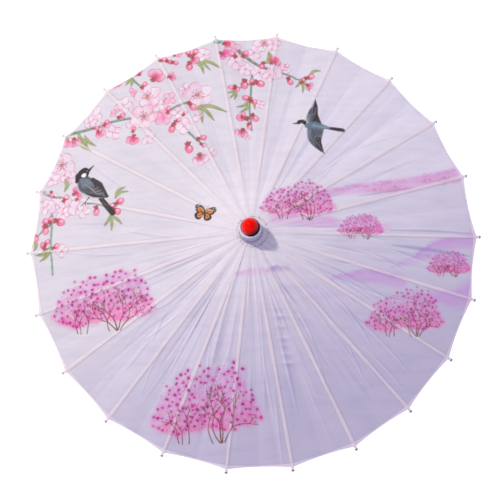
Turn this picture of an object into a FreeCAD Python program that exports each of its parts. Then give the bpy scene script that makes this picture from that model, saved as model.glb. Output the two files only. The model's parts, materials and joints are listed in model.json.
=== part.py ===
"""Oil paper umbrella, standing open on the end of its handle.

The frame has its origin at the centre of the handle's lower end, with +Z up the pole. Each rib
hangs in a notch of the upper hub, and a stretcher joins the middle of the rib to a notch of the
runner. The stretcher is as long as the rib is from its hinge to the stretcher's pin, and both hubs
hold their wires at one radius, so hub, rib pin and runner always form an isosceles triangle: the
stretcher turns by twice the rib's angle, and the runner slides straight down the pole.
"""
import FreeCAD, Part
import math
import os
import Sketcher

VEC = FreeCAD.Vector

SIZES = [
    ("rib_count", 22, "ribs, and stretchers, round the pole"),
    ("tip_radius", 420, "pole axis to the end of an open rib"),
    ("open_slope", 14, "degrees that an open rib falls below level"),
    ("hinge_height", 540, "height of the upper hub's wire"),
    ("hinge_radius", 16, "radius of the wire in both hubs"),
    ("arm_length", 165, "hinge to rib pin, and the stretcher's length"),
    ("rib_width", 5, "width of a rib"),
    ("rib_low", 0.8, "underside of a rib above its hinge line"),
    ("rib_high", 5.2, "top of a rib above its hinge line"),
    ("rib_root", 9, "length of the thin root that enters the hub"),
    ("root_width", 3.6, "width of the rib where it leaves its root"),
    ("taper_end", 60, "where the rib reaches its full width"),
    ("knot_long", 7, "half length of the bamboo knot at the rib pin"),
    ("knot_short", 4, "half length of the knot's flat underside"),
    ("knot_depth", 1.8, "how far the knot hangs below the hinge line"),
    ("slot_width", 2.2, "width of the rib's slot for its stretcher"),
    ("slot_inner", 9, "slot length towards the pole"),
    ("slot_outer", 13, "slot length away from the pole"),
    ("slot_roof", 2.6, "top of the slot above the hinge line"),
    ("tip_round", 3, "radius of the rounded rib tip"),
    ("edge_chamfer", 0.6, "chamfer along the long edges of the ribs"),
    ("tongue_width", 1.8, "thickness of every tongue"),
    ("tongue_round", 1.8, "radius of every tongue's end"),
    ("pin_radius", 0.6, "radius of a rib pin"),
    ("pin_play", 0.06, "running clearance on pins and wires"),
    ("wire_radius", 0.5, "radius of the two hub wires"),
    ("strut_width", 3.2, "width of a stretcher"),
    ("strut_half", 1.8, "half the height of a stretcher"),
    ("strut_start", 12, "length of the stretcher's upper tongue"),
    ("strut_stop", 8, "length of the stretcher's lower tongue"),
    ("notch_width", 2, "width of a hub notch"),
    ("notch_floor", 13.9, "radius of the bottom of a notch"),
    ("notch_roof", 2.3, "notch beyond the wire on its closed side"),
    ("head_radius", 18, "radius of both hub heads"),
    ("hub_top", 4.5, "top of the upper hub above its wire"),
    ("hub_bottom", 26, "upper hub below its wire"),
    ("runner_top", 7, "top of the runner above its wire"),
    ("runner_drop", 50, "runner below its wire"),
    ("slide_play", 0.3, "clearance between the runner and the pole"),
    ("pole_radius", 7.5, "radius of the pole"),
    ("seat_play", 0.05, "clearance where a piece is glued on the pole"),
    ("pole_foot", 20, "height of the pole's lower end in the handle"),
    ("pole_extra", 54, "pole above the upper hub's wire"),
    ("catch_reach", 35.1, "runner's lower end above the catch pin"),
    ("catch_width", 2, "thickness of the catch"),
    ("catch_slot", 2.4, "width of the catch slot in the pole"),
    ("catch_pin_radius", 0.8, "radius of the catch pin"),
    ("handle_top", 112, "top of the handle"),
    ("grip_radius", 12, "radius of the handle's grip"),
    ("grip_low", 6, "lower end of the grip's cylinder"),
    ("grip_high", 96, "upper end of the grip's cylinder"),
    ("cap_height", 5, "height of the handle's end cap"),
    ("ferrule_height", 6, "height of the ferrule over the handle"),
    ("finial_radius", 16, "radius of the finial's dome"),
    ("finial_height", 29, "height of the finial's dome"),
    ("collar_top", 36, "top of the collar above the upper hub's wire"),
    ("hem_radius", 413, "canopy's hem along a rib"),
    ("hem_scallop", 3, "how far the hem curves in between ribs"),
    ("eye_radius", 8.2, "hole of the canopy round the pole"),
    ("cloth_gap", 0.3, "canopy above the ribs"),
    ("cloth_thick", 0.6, "thickness of the canopy"),
]

doc = FreeCAD.newDocument("oil_paper_umbrella")
sheet = doc.addObject("Spreadsheet::Sheet", "Sizes")
for row, (alias, number, note) in enumerate(SIZES, start=1):
    sheet.set("A%d" % row, note)
    sheet.set("B%d" % row, str(number))
    sheet.setAlias("B%d" % row, alias)
doc.recompute()

# Lengths worked out from the sheet, as expressions.
RIB_LENGTH = "(Sizes.tip_radius - Sizes.hinge_radius) / cos(Sizes.open_slope)"
RIB_MIDDLE = "(Sizes.rib_low + Sizes.rib_high) / 2"
WIRE_HOLE = "Sizes.wire_radius + Sizes.pin_play + 0.02"
ON_POLE = "Sizes.pole_radius + Sizes.seat_play"
ROUND_POLE = "Sizes.pole_radius + Sizes.slide_play"
RUNNER_HEIGHT = "Sizes.hinge_height - 2 * Sizes.arm_length * sin(Sizes.open_slope)"
CATCH_HEIGHT = RUNNER_HEIGHT + " - Sizes.runner_drop - Sizes.catch_reach"


def value(expression):
    """The number that an expression, or a bare alias of the sheet, stands for."""
    if expression.isidentifier():
        expression = "Sizes." + expression
    return float(sheet.evalExpression(expression))


def new_body(name):
    body = doc.addObject("PartDesign::Body", name)
    body.Label = name
    return body


def origin_feature(body, role):
    return next(item for item in body.Origin.OriginFeatures if item.Role == role)


def new_sketch(body, name, plane):
    sketch = body.newObject("Sketcher::SketchObject", name)
    sketch.AttachmentSupport = [(origin_feature(body, plane), "")]
    sketch.MapMode = "FlatFace"
    return sketch


def pin_point(sketch, geometry, point, across, along):
    """Hold one point of a sketch at two expressions, measured from the origin."""
    for kind, expression in (("DistanceX", across), ("DistanceY", along)):
        rule = Sketcher.Constraint(kind, -1, 1, geometry, point, value(expression))
        index = sketch.addConstraint(rule)
        sketch.setExpression("Constraints[%d]" % index, expression)


def outline(body, name, plane, points):
    """A sketch of one closed polygon whose corners are pairs of expressions."""
    sketch = new_sketch(body, name, plane)
    corners = [VEC(value(across), value(along), 0) for across, along in points]
    count = len(corners)
    for index in range(count):
        sketch.addGeometry(Part.LineSegment(corners[index], corners[(index + 1) % count]))
    for index in range(count):
        sketch.addConstraint(Sketcher.Constraint("Coincident", index, 2, (index + 1) % count, 1))
    for index, (across, along) in enumerate(points):
        pin_point(sketch, index, 1, across, along)
    return sketch


def disc(body, name, plane, across, along, radius):
    """A sketch of one circle."""
    sketch = new_sketch(body, name, plane)
    centre = VEC(value(across), value(along), 0)
    sketch.addGeometry(Part.Circle(centre, VEC(0, 0, 1), value(radius)))
    pin_point(sketch, 0, 3, across, along)
    index = sketch.addConstraint(Sketcher.Constraint("Radius", 0, value(radius)))
    sketch.setExpression("Constraints[%d]" % index, radius)
    return sketch


def pad(body, name, sketch, length):
    """Extrude a sketch by the same amount to both sides of its plane."""
    feature = body.newObject("PartDesign::Pad", name)
    feature.Profile = sketch
    feature.Midplane = True
    feature.setExpression("Length", length)
    return feature


def pocket(body, name, sketch, length):
    """Cut a sketch by the same amount to both sides of its plane."""
    doc.recompute()
    before = body.Shape.Volume
    feature = body.newObject("PartDesign::Pocket", name)
    feature.Profile = sketch
    feature.Midplane = True
    feature.setExpression("Length", length)
    doc.recompute()
    if body.Shape.Volume >= before:
        raise ValueError(name + " cuts nothing")
    return feature


def turn(body, name, points):
    """Revolve a polygon of radius and height pairs round the body's Z axis."""
    sketch = outline(body, name + "_profile", "XZ_Plane", points)
    feature = body.newObject("PartDesign::Revolution", name)
    feature.Profile = sketch
    feature.ReferenceAxis = (sketch, ["V_Axis"])
    feature.Angle = 360
    return feature


def bevel_edges(body, name, wanted, size):
    """Chamfer the edges that the function `wanted` picks."""
    doc.recompute()
    base = body.Tip
    names = ["Edge%d" % (i + 1) for i, edge in enumerate(base.Shape.Edges) if wanted(edge)]
    feature = body.newObject("PartDesign::Chamfer", name)
    feature.Base = (base, names)
    feature.setExpression("Size", size)
    return feature


def notches(body, floor, roof):
    """Cut one radial notch between two heights and repeat it for every rib."""
    corners = [
        ("Sizes.notch_floor", floor),
        ("Sizes.head_radius + 2", floor),
        ("Sizes.head_radius + 2", roof),
        ("Sizes.notch_floor", roof),
    ]
    sketch = outline(body, "notch_outline", "XZ_Plane", corners)
    cut = pocket(body, "notch", sketch, "Sizes.notch_width")
    pattern = body.newObject("PartDesign::PolarPattern", "notch_ring")
    pattern.Originals = [cut]
    pattern.Axis = (origin_feature(body, "Z_Axis"), [""])
    pattern.Angle = 360
    pattern.setExpression("Occurrences", "Sizes.rib_count")
    body.Tip = pattern
    doc.recompute()


def wire_channel(body):
    """Turn the round channel in which the hub's wire lies."""
    before = body.Shape.Volume
    sketch = disc(body, "channel_section", "XZ_Plane", "Sizes.hinge_radius", "0",
                  "Sizes.wire_radius + Sizes.pin_play")
    groove = body.newObject("PartDesign::Groove", "channel")
    groove.Profile = sketch
    groove.ReferenceAxis = (sketch, ["V_Axis"])
    groove.Angle = 360
    doc.recompute()
    if body.Shape.Volume >= before:
        raise ValueError("the wire channel cuts nothing")


def place(node, height):
    node.setExpression("Placement.Base.z", height)


def make_pole():
    body = new_body("pole")
    section = disc(body, "section", "XY_Plane", "0", "0", "Sizes.pole_radius")
    rod = body.newObject("PartDesign::Pad", "rod")
    rod.Profile = section
    rod.setExpression("Length", "Sizes.hinge_height + Sizes.pole_extra - Sizes.pole_foot")
    pin_level = CATCH_HEIGHT + " - Sizes.pole_foot"
    corners = [
        ("-3", pin_level + " - 5"),
        ("Sizes.pole_radius + 2", pin_level + " - 5"),
        ("Sizes.pole_radius + 2", pin_level + " + Sizes.catch_reach + 3"),
        ("-3", pin_level + " + Sizes.catch_reach + 3"),
    ]
    slot = outline(body, "slot_outline", "XZ_Plane", corners)
    pocket(body, "catch_slot", slot, "Sizes.catch_slot")
    hole = disc(body, "pin_hole_circle", "XZ_Plane", "0", pin_level,
                "Sizes.catch_pin_radius + 0.01")
    pocket(body, "pin_hole", hole, "4 * Sizes.pole_radius")
    place(body, "Sizes.pole_foot")
    return body


def make_handle():
    body = new_body("handle")
    turn(body, "turning", [
        ("4.05", "Sizes.cap_height"),
        ("Sizes.grip_radius - 1", "Sizes.cap_height"),
        ("Sizes.grip_radius", "Sizes.grip_low"),
        ("Sizes.grip_radius", "Sizes.grip_high"),
        ("Sizes.grip_radius - 2.5", "Sizes.handle_top"),
        (ON_POLE, "Sizes.handle_top"),
        (ON_POLE, "Sizes.pole_foot - 0.5"),
        ("0", "Sizes.pole_foot - 0.5"),
        ("0", "Sizes.cap_height + 10.5"),
        ("4.05", "Sizes.cap_height + 10.5"),
    ])
    return body


def make_handle_cap():
    body = new_body("handle_cap")
    turn(body, "turning", [
        ("0", "0"),
        ("9", "0"),
        ("10.5", "1.2"),
        ("10.5", "Sizes.cap_height - 1"),
        ("9.8", "Sizes.cap_height"),
        ("4", "Sizes.cap_height"),
        ("4", "Sizes.cap_height + 10"),
        ("0", "Sizes.cap_height + 10"),
    ])
    return body


def make_ferrule():
    body = new_body("handle_ferrule")
    turn(body, "turning", [
        (ON_POLE, "0"),
        ("Sizes.grip_radius - 2.5", "0"),
        ("Sizes.grip_radius - 2.5", "Sizes.ferrule_height - 2"),
        ("Sizes.grip_radius - 3.4", "Sizes.ferrule_height"),
        (ON_POLE, "Sizes.ferrule_height"),
    ])
    place(body, "Sizes.handle_top")
    return body


def make_upper_hub():
    body = new_body("upper_hub")
    turn(body, "turning", [
        (ON_POLE, "-Sizes.hub_bottom"),
        ("11", "-Sizes.hub_bottom"),
        ("12", "-Sizes.hub_bottom + 2"),
        ("12", "-9"),
        ("Sizes.head_radius", "-6"),
        ("Sizes.head_radius", "Sizes.hub_top - 1"),
        ("Sizes.head_radius - 1", "Sizes.hub_top"),
        (ON_POLE, "Sizes.hub_top"),
    ])
    notches(body, "-12", "Sizes.notch_roof")
    wire_channel(body)
    place(body, "Sizes.hinge_height")
    return body


def make_runner():
    body = new_body("runner")
    turn(body, "turning", [
        (ROUND_POLE, "-Sizes.runner_drop"),
        ("12.5", "-Sizes.runner_drop"),
        ("13.5", "-Sizes.runner_drop + 1.5"),
        ("13.5", "-Sizes.runner_drop + 6"),
        ("11.5", "-Sizes.runner_drop + 9"),
        ("11.5", "-14"),
        ("Sizes.head_radius", "-5"),
        ("Sizes.head_radius", "Sizes.runner_top - 1"),
        ("Sizes.head_radius - 1", "Sizes.runner_top"),
        (ROUND_POLE, "Sizes.runner_top"),
    ])
    notches(body, "-Sizes.notch_roof", "Sizes.runner_top + 1")
    wire_channel(body)
    place(body, RUNNER_HEIGHT)
    return body


def make_wire(name, height):
    """The ring of wire on which a hub's tongues turn."""
    ring = doc.addObject("Part::Torus", name)
    ring.setExpression("Radius1", "Sizes.hinge_radius")
    ring.setExpression("Radius2", "Sizes.wire_radius")
    place(ring, height)
    return ring


def make_collar():
    """The white cloth-bound cup that gathers the canopy's crown on the pole."""
    body = new_body("collar")
    turn(body, "turning", [
        (ON_POLE, "8.7"),
        ("22.5", "5"),
        ("22.5", "7.5"),
        ("21", "10.5"),
        ("20.7", "22"),
        ("21.3", "23"),
        ("21.3", "26"),
        ("20.8", "27"),
        ("20.8", "Sizes.collar_top - 2"),
        ("19", "Sizes.collar_top"),
        (ON_POLE, "Sizes.collar_top"),
    ])
    place(body, "Sizes.hinge_height")
    return body


def make_finial():
    dome = doc.addObject("Part::Ellipsoid", "finial_dome")
    dome.Angle1 = 0
    dome.setExpression("Radius1", "Sizes.finial_height")
    dome.setExpression("Radius2", "Sizes.finial_radius")
    socket = doc.addObject("Part::Cylinder", "finial_socket")
    socket.setExpression("Radius", ON_POLE)
    socket.setExpression("Height", "Sizes.pole_extra - Sizes.collar_top + 0.5")
    finial = doc.addObject("Part::Cut", "finial")
    finial.Base = dome
    finial.Tool = socket
    place(finial, "Sizes.hinge_height + Sizes.collar_top")
    return finial


def make_catch():
    """The sprung catch that stands out of the pole under the open runner."""
    body = new_body("catch_spring")
    boss = disc(body, "boss_circle", "XZ_Plane", "0", "0", "2.2")
    pad(body, "boss", boss, "Sizes.catch_width")
    blade = outline(body, "blade_outline", "XZ_Plane", [
        ("2.2", "0"),
        ("6.9", "16"),
        ("11", "Sizes.catch_reach - 2.7"),
        ("11", "Sizes.catch_reach - 1.2"),
        ("4.5", "Sizes.catch_reach - 0.2"),
        ("2.5", "16"),
        ("-2.2", "0"),
    ])
    pad(body, "blade", blade, "Sizes.catch_width")
    hole = disc(body, "hole_circle", "XZ_Plane", "0", "0", "Sizes.catch_pin_radius + Sizes.pin_play")
    pocket(body, "hole", hole, "2 * Sizes.catch_width")
    place(body, CATCH_HEIGHT)
    return body


def make_catch_pin():
    pin = doc.addObject("Part::Cylinder", "catch_pin")
    pin.setExpression("Radius", "Sizes.catch_pin_radius")
    pin.setExpression("Height", "2 * Sizes.pole_radius - 1")
    pin.Placement.Rotation = FreeCAD.Rotation(VEC(1, 0, 0), -90)
    pin.setExpression("Placement.Base.y", "-Sizes.pole_radius + 0.5")
    place(pin, CATCH_HEIGHT)
    return pin


def make_rib_strip():
    """One bamboo rib along X, with its hinge at the origin and its top side up."""
    body = new_body("rib_strip")
    pin_x = "Sizes.arm_length"
    end_x = RIB_LENGTH + " - 1.8 * Sizes.tip_round"
    bar = outline(body, "bar_outline", "XZ_Plane", [
        ("Sizes.rib_root", "Sizes.rib_low"),
        (pin_x + " - Sizes.knot_long", "Sizes.rib_low"),
        (pin_x + " - Sizes.knot_short", "-Sizes.knot_depth"),
        (pin_x + " + Sizes.knot_short", "-Sizes.knot_depth"),
        (pin_x + " + Sizes.knot_long", "Sizes.rib_low"),
        (end_x, "Sizes.rib_low"),
        (end_x, "Sizes.rib_high"),
        ("Sizes.rib_root", "Sizes.rib_high"),
    ])
    pad(body, "bar", bar, "Sizes.rib_width")
    for side, sign in (("left", ""), ("right", "-")):
        wedge = outline(body, side + "_wedge", "XY_Plane", [
            ("Sizes.rib_root - 1", sign + "Sizes.root_width / 2"),
            ("Sizes.taper_end", sign + "Sizes.rib_width / 2"),
            ("Sizes.taper_end", sign + "Sizes.rib_width"),
            ("Sizes.rib_root - 1", sign + "Sizes.rib_width"),
        ])
        pocket(body, side + "_taper", wedge, "4 * Sizes.rib_high")
    bevel_edges(body, "long_bevel", is_long_edge, "Sizes.edge_chamfer")
    tongue = outline(body, "root_outline", "XZ_Plane", [
        ("0", "-Sizes.tongue_round"),
        ("Sizes.rib_root", "Sizes.rib_low"),
        ("Sizes.rib_root + 2", "Sizes.rib_low"),
        ("Sizes.rib_root + 2", "Sizes.rib_high"),
        ("Sizes.rib_root", "Sizes.rib_high"),
        ("0", "Sizes.tongue_round"),
    ])
    pad(body, "root", tongue, "Sizes.tongue_width")
    knuckle = disc(body, "knuckle_circle", "XZ_Plane", "0", "0", "Sizes.tongue_round")
    pad(body, "knuckle", knuckle, "Sizes.tongue_width")
    wire_hole = disc(body, "wire_circle", "XZ_Plane", "0", "0", WIRE_HOLE)
    pocket(body, "wire_hole", wire_hole, "2 * Sizes.rib_width")
    slot = outline(body, "slot_outline", "XZ_Plane", [
        (pin_x + " - Sizes.slot_inner", "-2 * Sizes.knot_depth"),
        (pin_x + " + Sizes.slot_outer", "-2 * Sizes.knot_depth"),
        (pin_x + " + Sizes.slot_outer", "Sizes.slot_roof"),
        (pin_x + " - Sizes.slot_inner", "Sizes.slot_roof"),
    ])
    pocket(body, "slot", slot, "Sizes.slot_width")
    pin_hole = disc(body, "pin_circle", "XZ_Plane", pin_x, "0", "Sizes.pin_radius + 0.01")
    pocket(body, "pin_hole", pin_hole, "2 * Sizes.rib_width")
    tip = body.newObject("PartDesign::AdditiveSphere", "tip")
    tip.setExpression("Radius", "Sizes.tip_round")
    tip.setExpression("Placement.Base.x", RIB_LENGTH + " - Sizes.tip_round")
    tip.setExpression("Placement.Base.z", RIB_MIDDLE)
    doc.recompute()
    return body


def is_long_edge(edge):
    """True for the straight edges that run more than 30 mm along a rib or stretcher."""
    return isinstance(edge.Curve, Part.Line) and edge.Length > 30


def make_rib_pin():
    pin = doc.addObject("Part::Cylinder", "rib_pin")
    pin.setExpression("Radius", "Sizes.pin_radius")
    pin.setExpression("Height", "Sizes.rib_width")
    pin.Placement.Rotation = FreeCAD.Rotation(VEC(1, 0, 0), -90)
    pin.setExpression("Placement.Base.x", "Sizes.arm_length")
    pin.setExpression("Placement.Base.y", "-Sizes.rib_width / 2")
    return pin


def make_stretcher_strip():
    """One stretcher along X from its pin in the rib to its wire hole in the runner."""
    body = new_body("stretcher_strip")
    far_x = "Sizes.arm_length"
    bar = outline(body, "bar_outline", "XZ_Plane", [
        ("Sizes.strut_start", "-Sizes.strut_half"),
        (far_x + " - Sizes.strut_stop", "-Sizes.strut_half"),
        (far_x + " - Sizes.strut_stop", "Sizes.strut_half"),
        ("Sizes.strut_start", "Sizes.strut_half"),
    ])
    pad(body, "bar", bar, "Sizes.strut_width")
    bevel_edges(body, "long_bevel", is_long_edge, "Sizes.edge_chamfer")
    tongue = outline(body, "tongue_outline", "XZ_Plane", [
        ("0", "-Sizes.tongue_round"),
        (far_x, "-Sizes.tongue_round"),
        (far_x, "Sizes.tongue_round"),
        ("0", "Sizes.tongue_round"),
    ])
    pad(body, "tongue", tongue, "Sizes.tongue_width")
    for name, at, radius in (
        ("upper", "0", "Sizes.pin_radius + Sizes.pin_play"),
        ("lower", far_x, WIRE_HOLE),
    ):
        end = disc(body, name + "_end", "XZ_Plane", at, "0", "Sizes.tongue_round")
        pad(body, name + "_knuckle", end, "Sizes.tongue_width")
        circle = disc(body, name + "_circle", "XZ_Plane", at, "0", radius)
        pocket(body, name + "_hole", circle, "2 * Sizes.strut_width")
    doc.recompute()
    return body


def spread_round(name, pieces, slope, radius, height):
    """Repeat pieces for every rib: tilted by slope about Y, then turned round the pole."""
    nodes = []
    count = int(value("rib_count"))
    for index in range(count):
        node = doc.addObject("Part::Compound", "%s_%02d" % (name, index + 1))
        node.Links = pieces
        spin = FreeCAD.Rotation(VEC(0, 0, 1), 360 * index / count)
        tilt = FreeCAD.Rotation(VEC(0, 1, 0), slope)
        node.Placement = FreeCAD.Placement(spin.multVec(VEC(radius, 0, height)), spin.multiply(tilt))
        nodes.append(node)
    return nodes


def make_canopy():
    """The pleated sheet: a shallow pyramid with a fold over every rib and a scalloped hem."""
    count = int(value("rib_count"))
    slope = math.radians(value("open_slope"))
    lift_low = (value("rib_high") + value("cloth_gap")) / math.cos(slope)
    lift_high = lift_low + value("cloth_thick") / math.cos(slope)
    step = 2 * math.pi / count
    eye = value("eye_radius")
    hem = value("hem_radius")
    chord = hem * math.cos(step / 2)

    def cone_point(radius, spoke, lift):
        """A point over rib number `spoke`, lifted above the rib's hinge line."""
        height = value("hinge_height") + lift - (radius - value("hinge_radius")) * math.tan(slope)
        return VEC(radius * math.cos(spoke * step), radius * math.sin(spoke * step), height)

    def scallop_point(spoke, lift):
        """The hem's point half way to the next rib, moved in along the cloth."""
        middle = (cone_point(hem, spoke, lift) + cone_point(hem, spoke + 1, lift)) * 0.5
        inner = (cone_point(eye, spoke, lift) + cone_point(eye, spoke + 1, lift)) * 0.5
        return middle + (inner - middle) * (value("hem_scallop") / chord)

    faces = []
    for spoke in range(count):
        low, high = [
            [cone_point(eye, spoke, lift), cone_point(hem, spoke, lift), scallop_point(spoke, lift),
             cone_point(hem, spoke + 1, lift), cone_point(eye, spoke + 1, lift)]
            for lift in (lift_low, lift_high)
        ]
        for ring in (low, high):
            faces.append(Part.Face(Part.makePolygon(ring + ring[:1])))
        for start, stop in ((1, 2), (2, 3), (4, 0)):
            wall = [low[start], low[stop], high[stop], high[start]]
            faces.append(Part.Face(Part.makePolygon(wall + wall[:1])))
    canopy = doc.addObject("Part::Feature", "canopy")
    solid = Part.Solid(Part.Shell(faces))
    if solid.Volume < 0:
        solid.reverse()
    canopy.Shape = solid
    return canopy


def make_nodes():
    slope = value("open_slope")
    arm = value("arm_length")
    pin_radius = value("hinge_radius") + arm * math.cos(math.radians(slope))
    pin_height = value("hinge_height") - arm * math.sin(math.radians(slope))
    nodes = [
        make_pole(),
        make_handle(),
        make_handle_cap(),
        make_ferrule(),
        make_upper_hub(),
        make_wire("hub_wire", "Sizes.hinge_height"),
        make_collar(),
        make_finial(),
        make_canopy(),
        make_runner(),
        make_wire("runner_wire", RUNNER_HEIGHT),
        make_catch(),
        make_catch_pin(),
    ]
    rib_pieces = [make_rib_strip(), make_rib_pin()]
    nodes += spread_round("rib", rib_pieces, slope, value("hinge_radius"), value("hinge_height"))
    stretcher_pieces = [make_stretcher_strip()]
    nodes += spread_round("stretcher", stretcher_pieces, 180 - slope, pin_radius, pin_height)
    return nodes


nodes = make_nodes()
doc.recompute()
for item in doc.Objects:
    if "Invalid" in item.State or "Error" in item.State:
        raise ValueError(item.Name + " did not compute: " + str(item.State))
for node in nodes:
    if node.Shape.isNull() or not node.Shape.isValid() or not node.Shape.Solids:
        raise ValueError(node.Label + " has no valid solid")

os.makedirs("parts", exist_ok=True)
for node in nodes:
    node.Shape.exportStep("parts/%s.step" % node.Label)
print(len(nodes), "nodes")
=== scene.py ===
"""Oil paper umbrella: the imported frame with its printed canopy, lacquered finial and bamboo.

Lengths are in metres in the frame's own axes. The canopy is cut along its creases and beside its
ribs, so that it folds with the frame: every rib carries a narrow band of it and two panels.
"""

import json
import math
import random

import bpy
import numpy as np
from mathutils import Matrix, Vector


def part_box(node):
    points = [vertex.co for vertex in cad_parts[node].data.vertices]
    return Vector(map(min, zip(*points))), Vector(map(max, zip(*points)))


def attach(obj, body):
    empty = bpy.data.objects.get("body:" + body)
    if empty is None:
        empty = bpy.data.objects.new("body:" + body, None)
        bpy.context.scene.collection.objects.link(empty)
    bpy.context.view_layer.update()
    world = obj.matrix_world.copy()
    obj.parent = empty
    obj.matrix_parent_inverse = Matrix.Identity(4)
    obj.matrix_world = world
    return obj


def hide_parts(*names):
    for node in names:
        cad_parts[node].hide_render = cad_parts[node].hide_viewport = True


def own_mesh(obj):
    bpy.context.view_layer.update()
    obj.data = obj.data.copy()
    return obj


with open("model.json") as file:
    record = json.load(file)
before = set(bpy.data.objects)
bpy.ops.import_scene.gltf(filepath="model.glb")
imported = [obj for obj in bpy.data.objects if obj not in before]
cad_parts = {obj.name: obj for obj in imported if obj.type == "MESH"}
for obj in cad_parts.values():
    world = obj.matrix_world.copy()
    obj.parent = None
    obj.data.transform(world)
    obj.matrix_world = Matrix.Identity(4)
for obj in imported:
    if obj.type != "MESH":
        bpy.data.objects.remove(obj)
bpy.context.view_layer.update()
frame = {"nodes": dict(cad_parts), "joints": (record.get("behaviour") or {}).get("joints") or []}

# ---------------------------------------------------------------- sizes from the frame
JOINTS = {joint["name"]: joint for joint in frame["joints"]}
RIB_NODES = sorted(name for name in frame["nodes"] if name.startswith("rib_"))
STRETCHER_NODES = sorted(name for name in frame["nodes"] if name.startswith("stretcher_"))
COUNT = len(RIB_NODES)
TURN = 2 * math.pi
STEP = TURN / COUNT
HALF = STEP / 2
HINGE_R = JOINTS["fold"]["pos_m"][0]
HINGE_Z = JOINTS["fold"]["pos_m"][2]
PIN_R = JOINTS["stretcher_01_hinge"]["pos_m"][0]
PIN_Z = JOINTS["stretcher_01_hinge"]["pos_m"][2]
SLOPE = math.atan2(HINGE_Z - PIN_Z, PIN_R - HINGE_R)
TRAVEL = math.radians(JOINTS["fold"]["range_deg"][1])
COLLAR_LOW, COLLAR_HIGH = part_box("collar")
FINIAL_LOW, FINIAL_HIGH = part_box("finial")

CLOTH_LIFT = 0.0057           # middle of the cloth above a rib's hinge line
EYE_R = 0.0194                # inner edge of the cloth, under the collar
HEM_R = 0.4130                # hem along a rib
SCALLOP = 0.0032              # how far the hem curves in between ribs
SAG = 0.0046                  # how far the crease hangs below the ribs at the hem
BESIDE = 0.0009               # drop of the cloth just beside a rib
HEM_DROP = 0.0011             # how far the hem's edge turns down
BAND_SHARE = 0.8              # share of the folded pitch that a rib's band covers
GRAIN = 0.0012                # spacing of a panel's points
BAND_STEP = 0.0020            # spacing of a band's rows
BAND_COLUMNS = 13
OFF_AXIS = (3.2, 1.4)         # how far the print sits off the axis at the pole, in millimetres
NECK_R = (0.4085, 0.4110)     # where a rib's bamboo turns into its pale neck
BEAD_R = (0.4168, 0.4178)     # where the neck turns into the bead, which has painted light and shade
GROOVE_R = (0.0173, 0.0165)   # where the cap's rim turns into the groove round the knob, painted dark as shade
KNOB_R = 0.0150               # the lacquered knob's radius
HEAD_RISE = 0.0030            # the lacquered knob's foot above the foot of its CAD solid
BINDING_R = 0.02075           # radius of the binding's turns of thread
THREAD_R = 0.0006


def spoke(angle, radius, height):
    return np.array([radius * math.cos(angle), radius * math.sin(angle), height])


# ---------------------------------------------------------------- shader helpers
class Nodes:
    """Short names for building one material's node tree."""

    def __init__(self, name):
        self.material = bpy.data.materials.new(name)
        self.material.use_nodes = True
        self.tree = self.material.node_tree
        self.tree.nodes.clear()
        self.output = self.tree.nodes.new("ShaderNodeOutputMaterial")

    def add(self, kind, inputs=(), **settings):
        node = self.tree.nodes.new(kind)
        for key, value in settings.items():
            setattr(node, key, value)
        for key, value in dict(inputs).items():
            self.put(node.inputs[key], value)
        return node

    def put(self, socket, value):
        if isinstance(value, bpy.types.NodeSocket):
            self.tree.links.new(value, socket)
        else:
            socket.default_value = value

    def attribute(self, name):
        return self.add("ShaderNodeAttribute", attribute_name=name)

    def place(self):
        """Where the point is, in the frame's axes."""
        return self.add("ShaderNodeTexCoord").outputs["Object"]

    def above(self, place, base):
        """Height over `base`."""
        axes = self.add("ShaderNodeSeparateXYZ", {0: place})
        return self.math("SUBTRACT", axes.outputs[2], float(base))

    def from_pole(self, place):
        flat = self.scaled(place, (1, 1, 0))
        return self.add("ShaderNodeVectorMath", {0: flat}, operation="LENGTH").outputs["Value"]

    def scaled(self, vector, scale):
        node = self.add("ShaderNodeVectorMath", operation="MULTIPLY", inputs={0: vector, 1: scale})
        return node.outputs[0]

    def noise(self, vector, scale, detail=3.0, rough=0.55):
        inputs = {"Vector": vector, "Scale": scale, "Detail": detail, "Roughness": rough}
        return self.add("ShaderNodeTexNoise", inputs).outputs["Fac"]

    def math(self, operation, first, second):
        return self.add("ShaderNodeMath", {0: first, 1: second}, operation=operation).outputs[0]

    def spread(self, value, low, high, out_low=0.0, out_high=1.0):
        inputs = {0: value, 1: low, 2: high, 3: out_low, 4: out_high}
        return self.add("ShaderNodeMapRange", inputs).outputs[0]

    def aside(self, place, toward):
        """How far the place lies from the pole towards a direction."""
        node = self.add("ShaderNodeVectorMath", {0: place, 1: toward}, operation="DOT_PRODUCT")
        return node.outputs["Value"]

    def mix(self, factor, first, second, blend="MIX"):
        node = self.add("ShaderNodeMix", data_type="RGBA", blend_type=blend)
        self.put(node.inputs[0], factor)
        self.put(node.inputs[6], first)
        self.put(node.inputs[7], second)
        return node.outputs[2]

    def bump(self, height, strength, distance):
        inputs = {"Height": height, "Strength": strength, "Distance": distance}
        return self.add("ShaderNodeBump", inputs).outputs[0]

    def principled(self, **inputs):
        named = {key.replace("_", " "): value for key, value in inputs.items()}
        return self.add("ShaderNodeBsdfPrincipled", named)

    def finish(self, shader):
        self.tree.links.new(shader.outputs[0], self.output.inputs[0])
        return self.material


def linear(display):
    """Linear values of display values from 0 to 255."""
    share = np.clip(np.asarray(display, float) / 255, 0, 1)
    return np.where(share < 0.04045, share / 12.92, ((share + 0.055) / 1.055) ** 2.4)


def srgb(red, green, blue):
    """A shader's colour from display values."""
    return (*linear((red, green, blue)).tolist(), 1.0)


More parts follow.
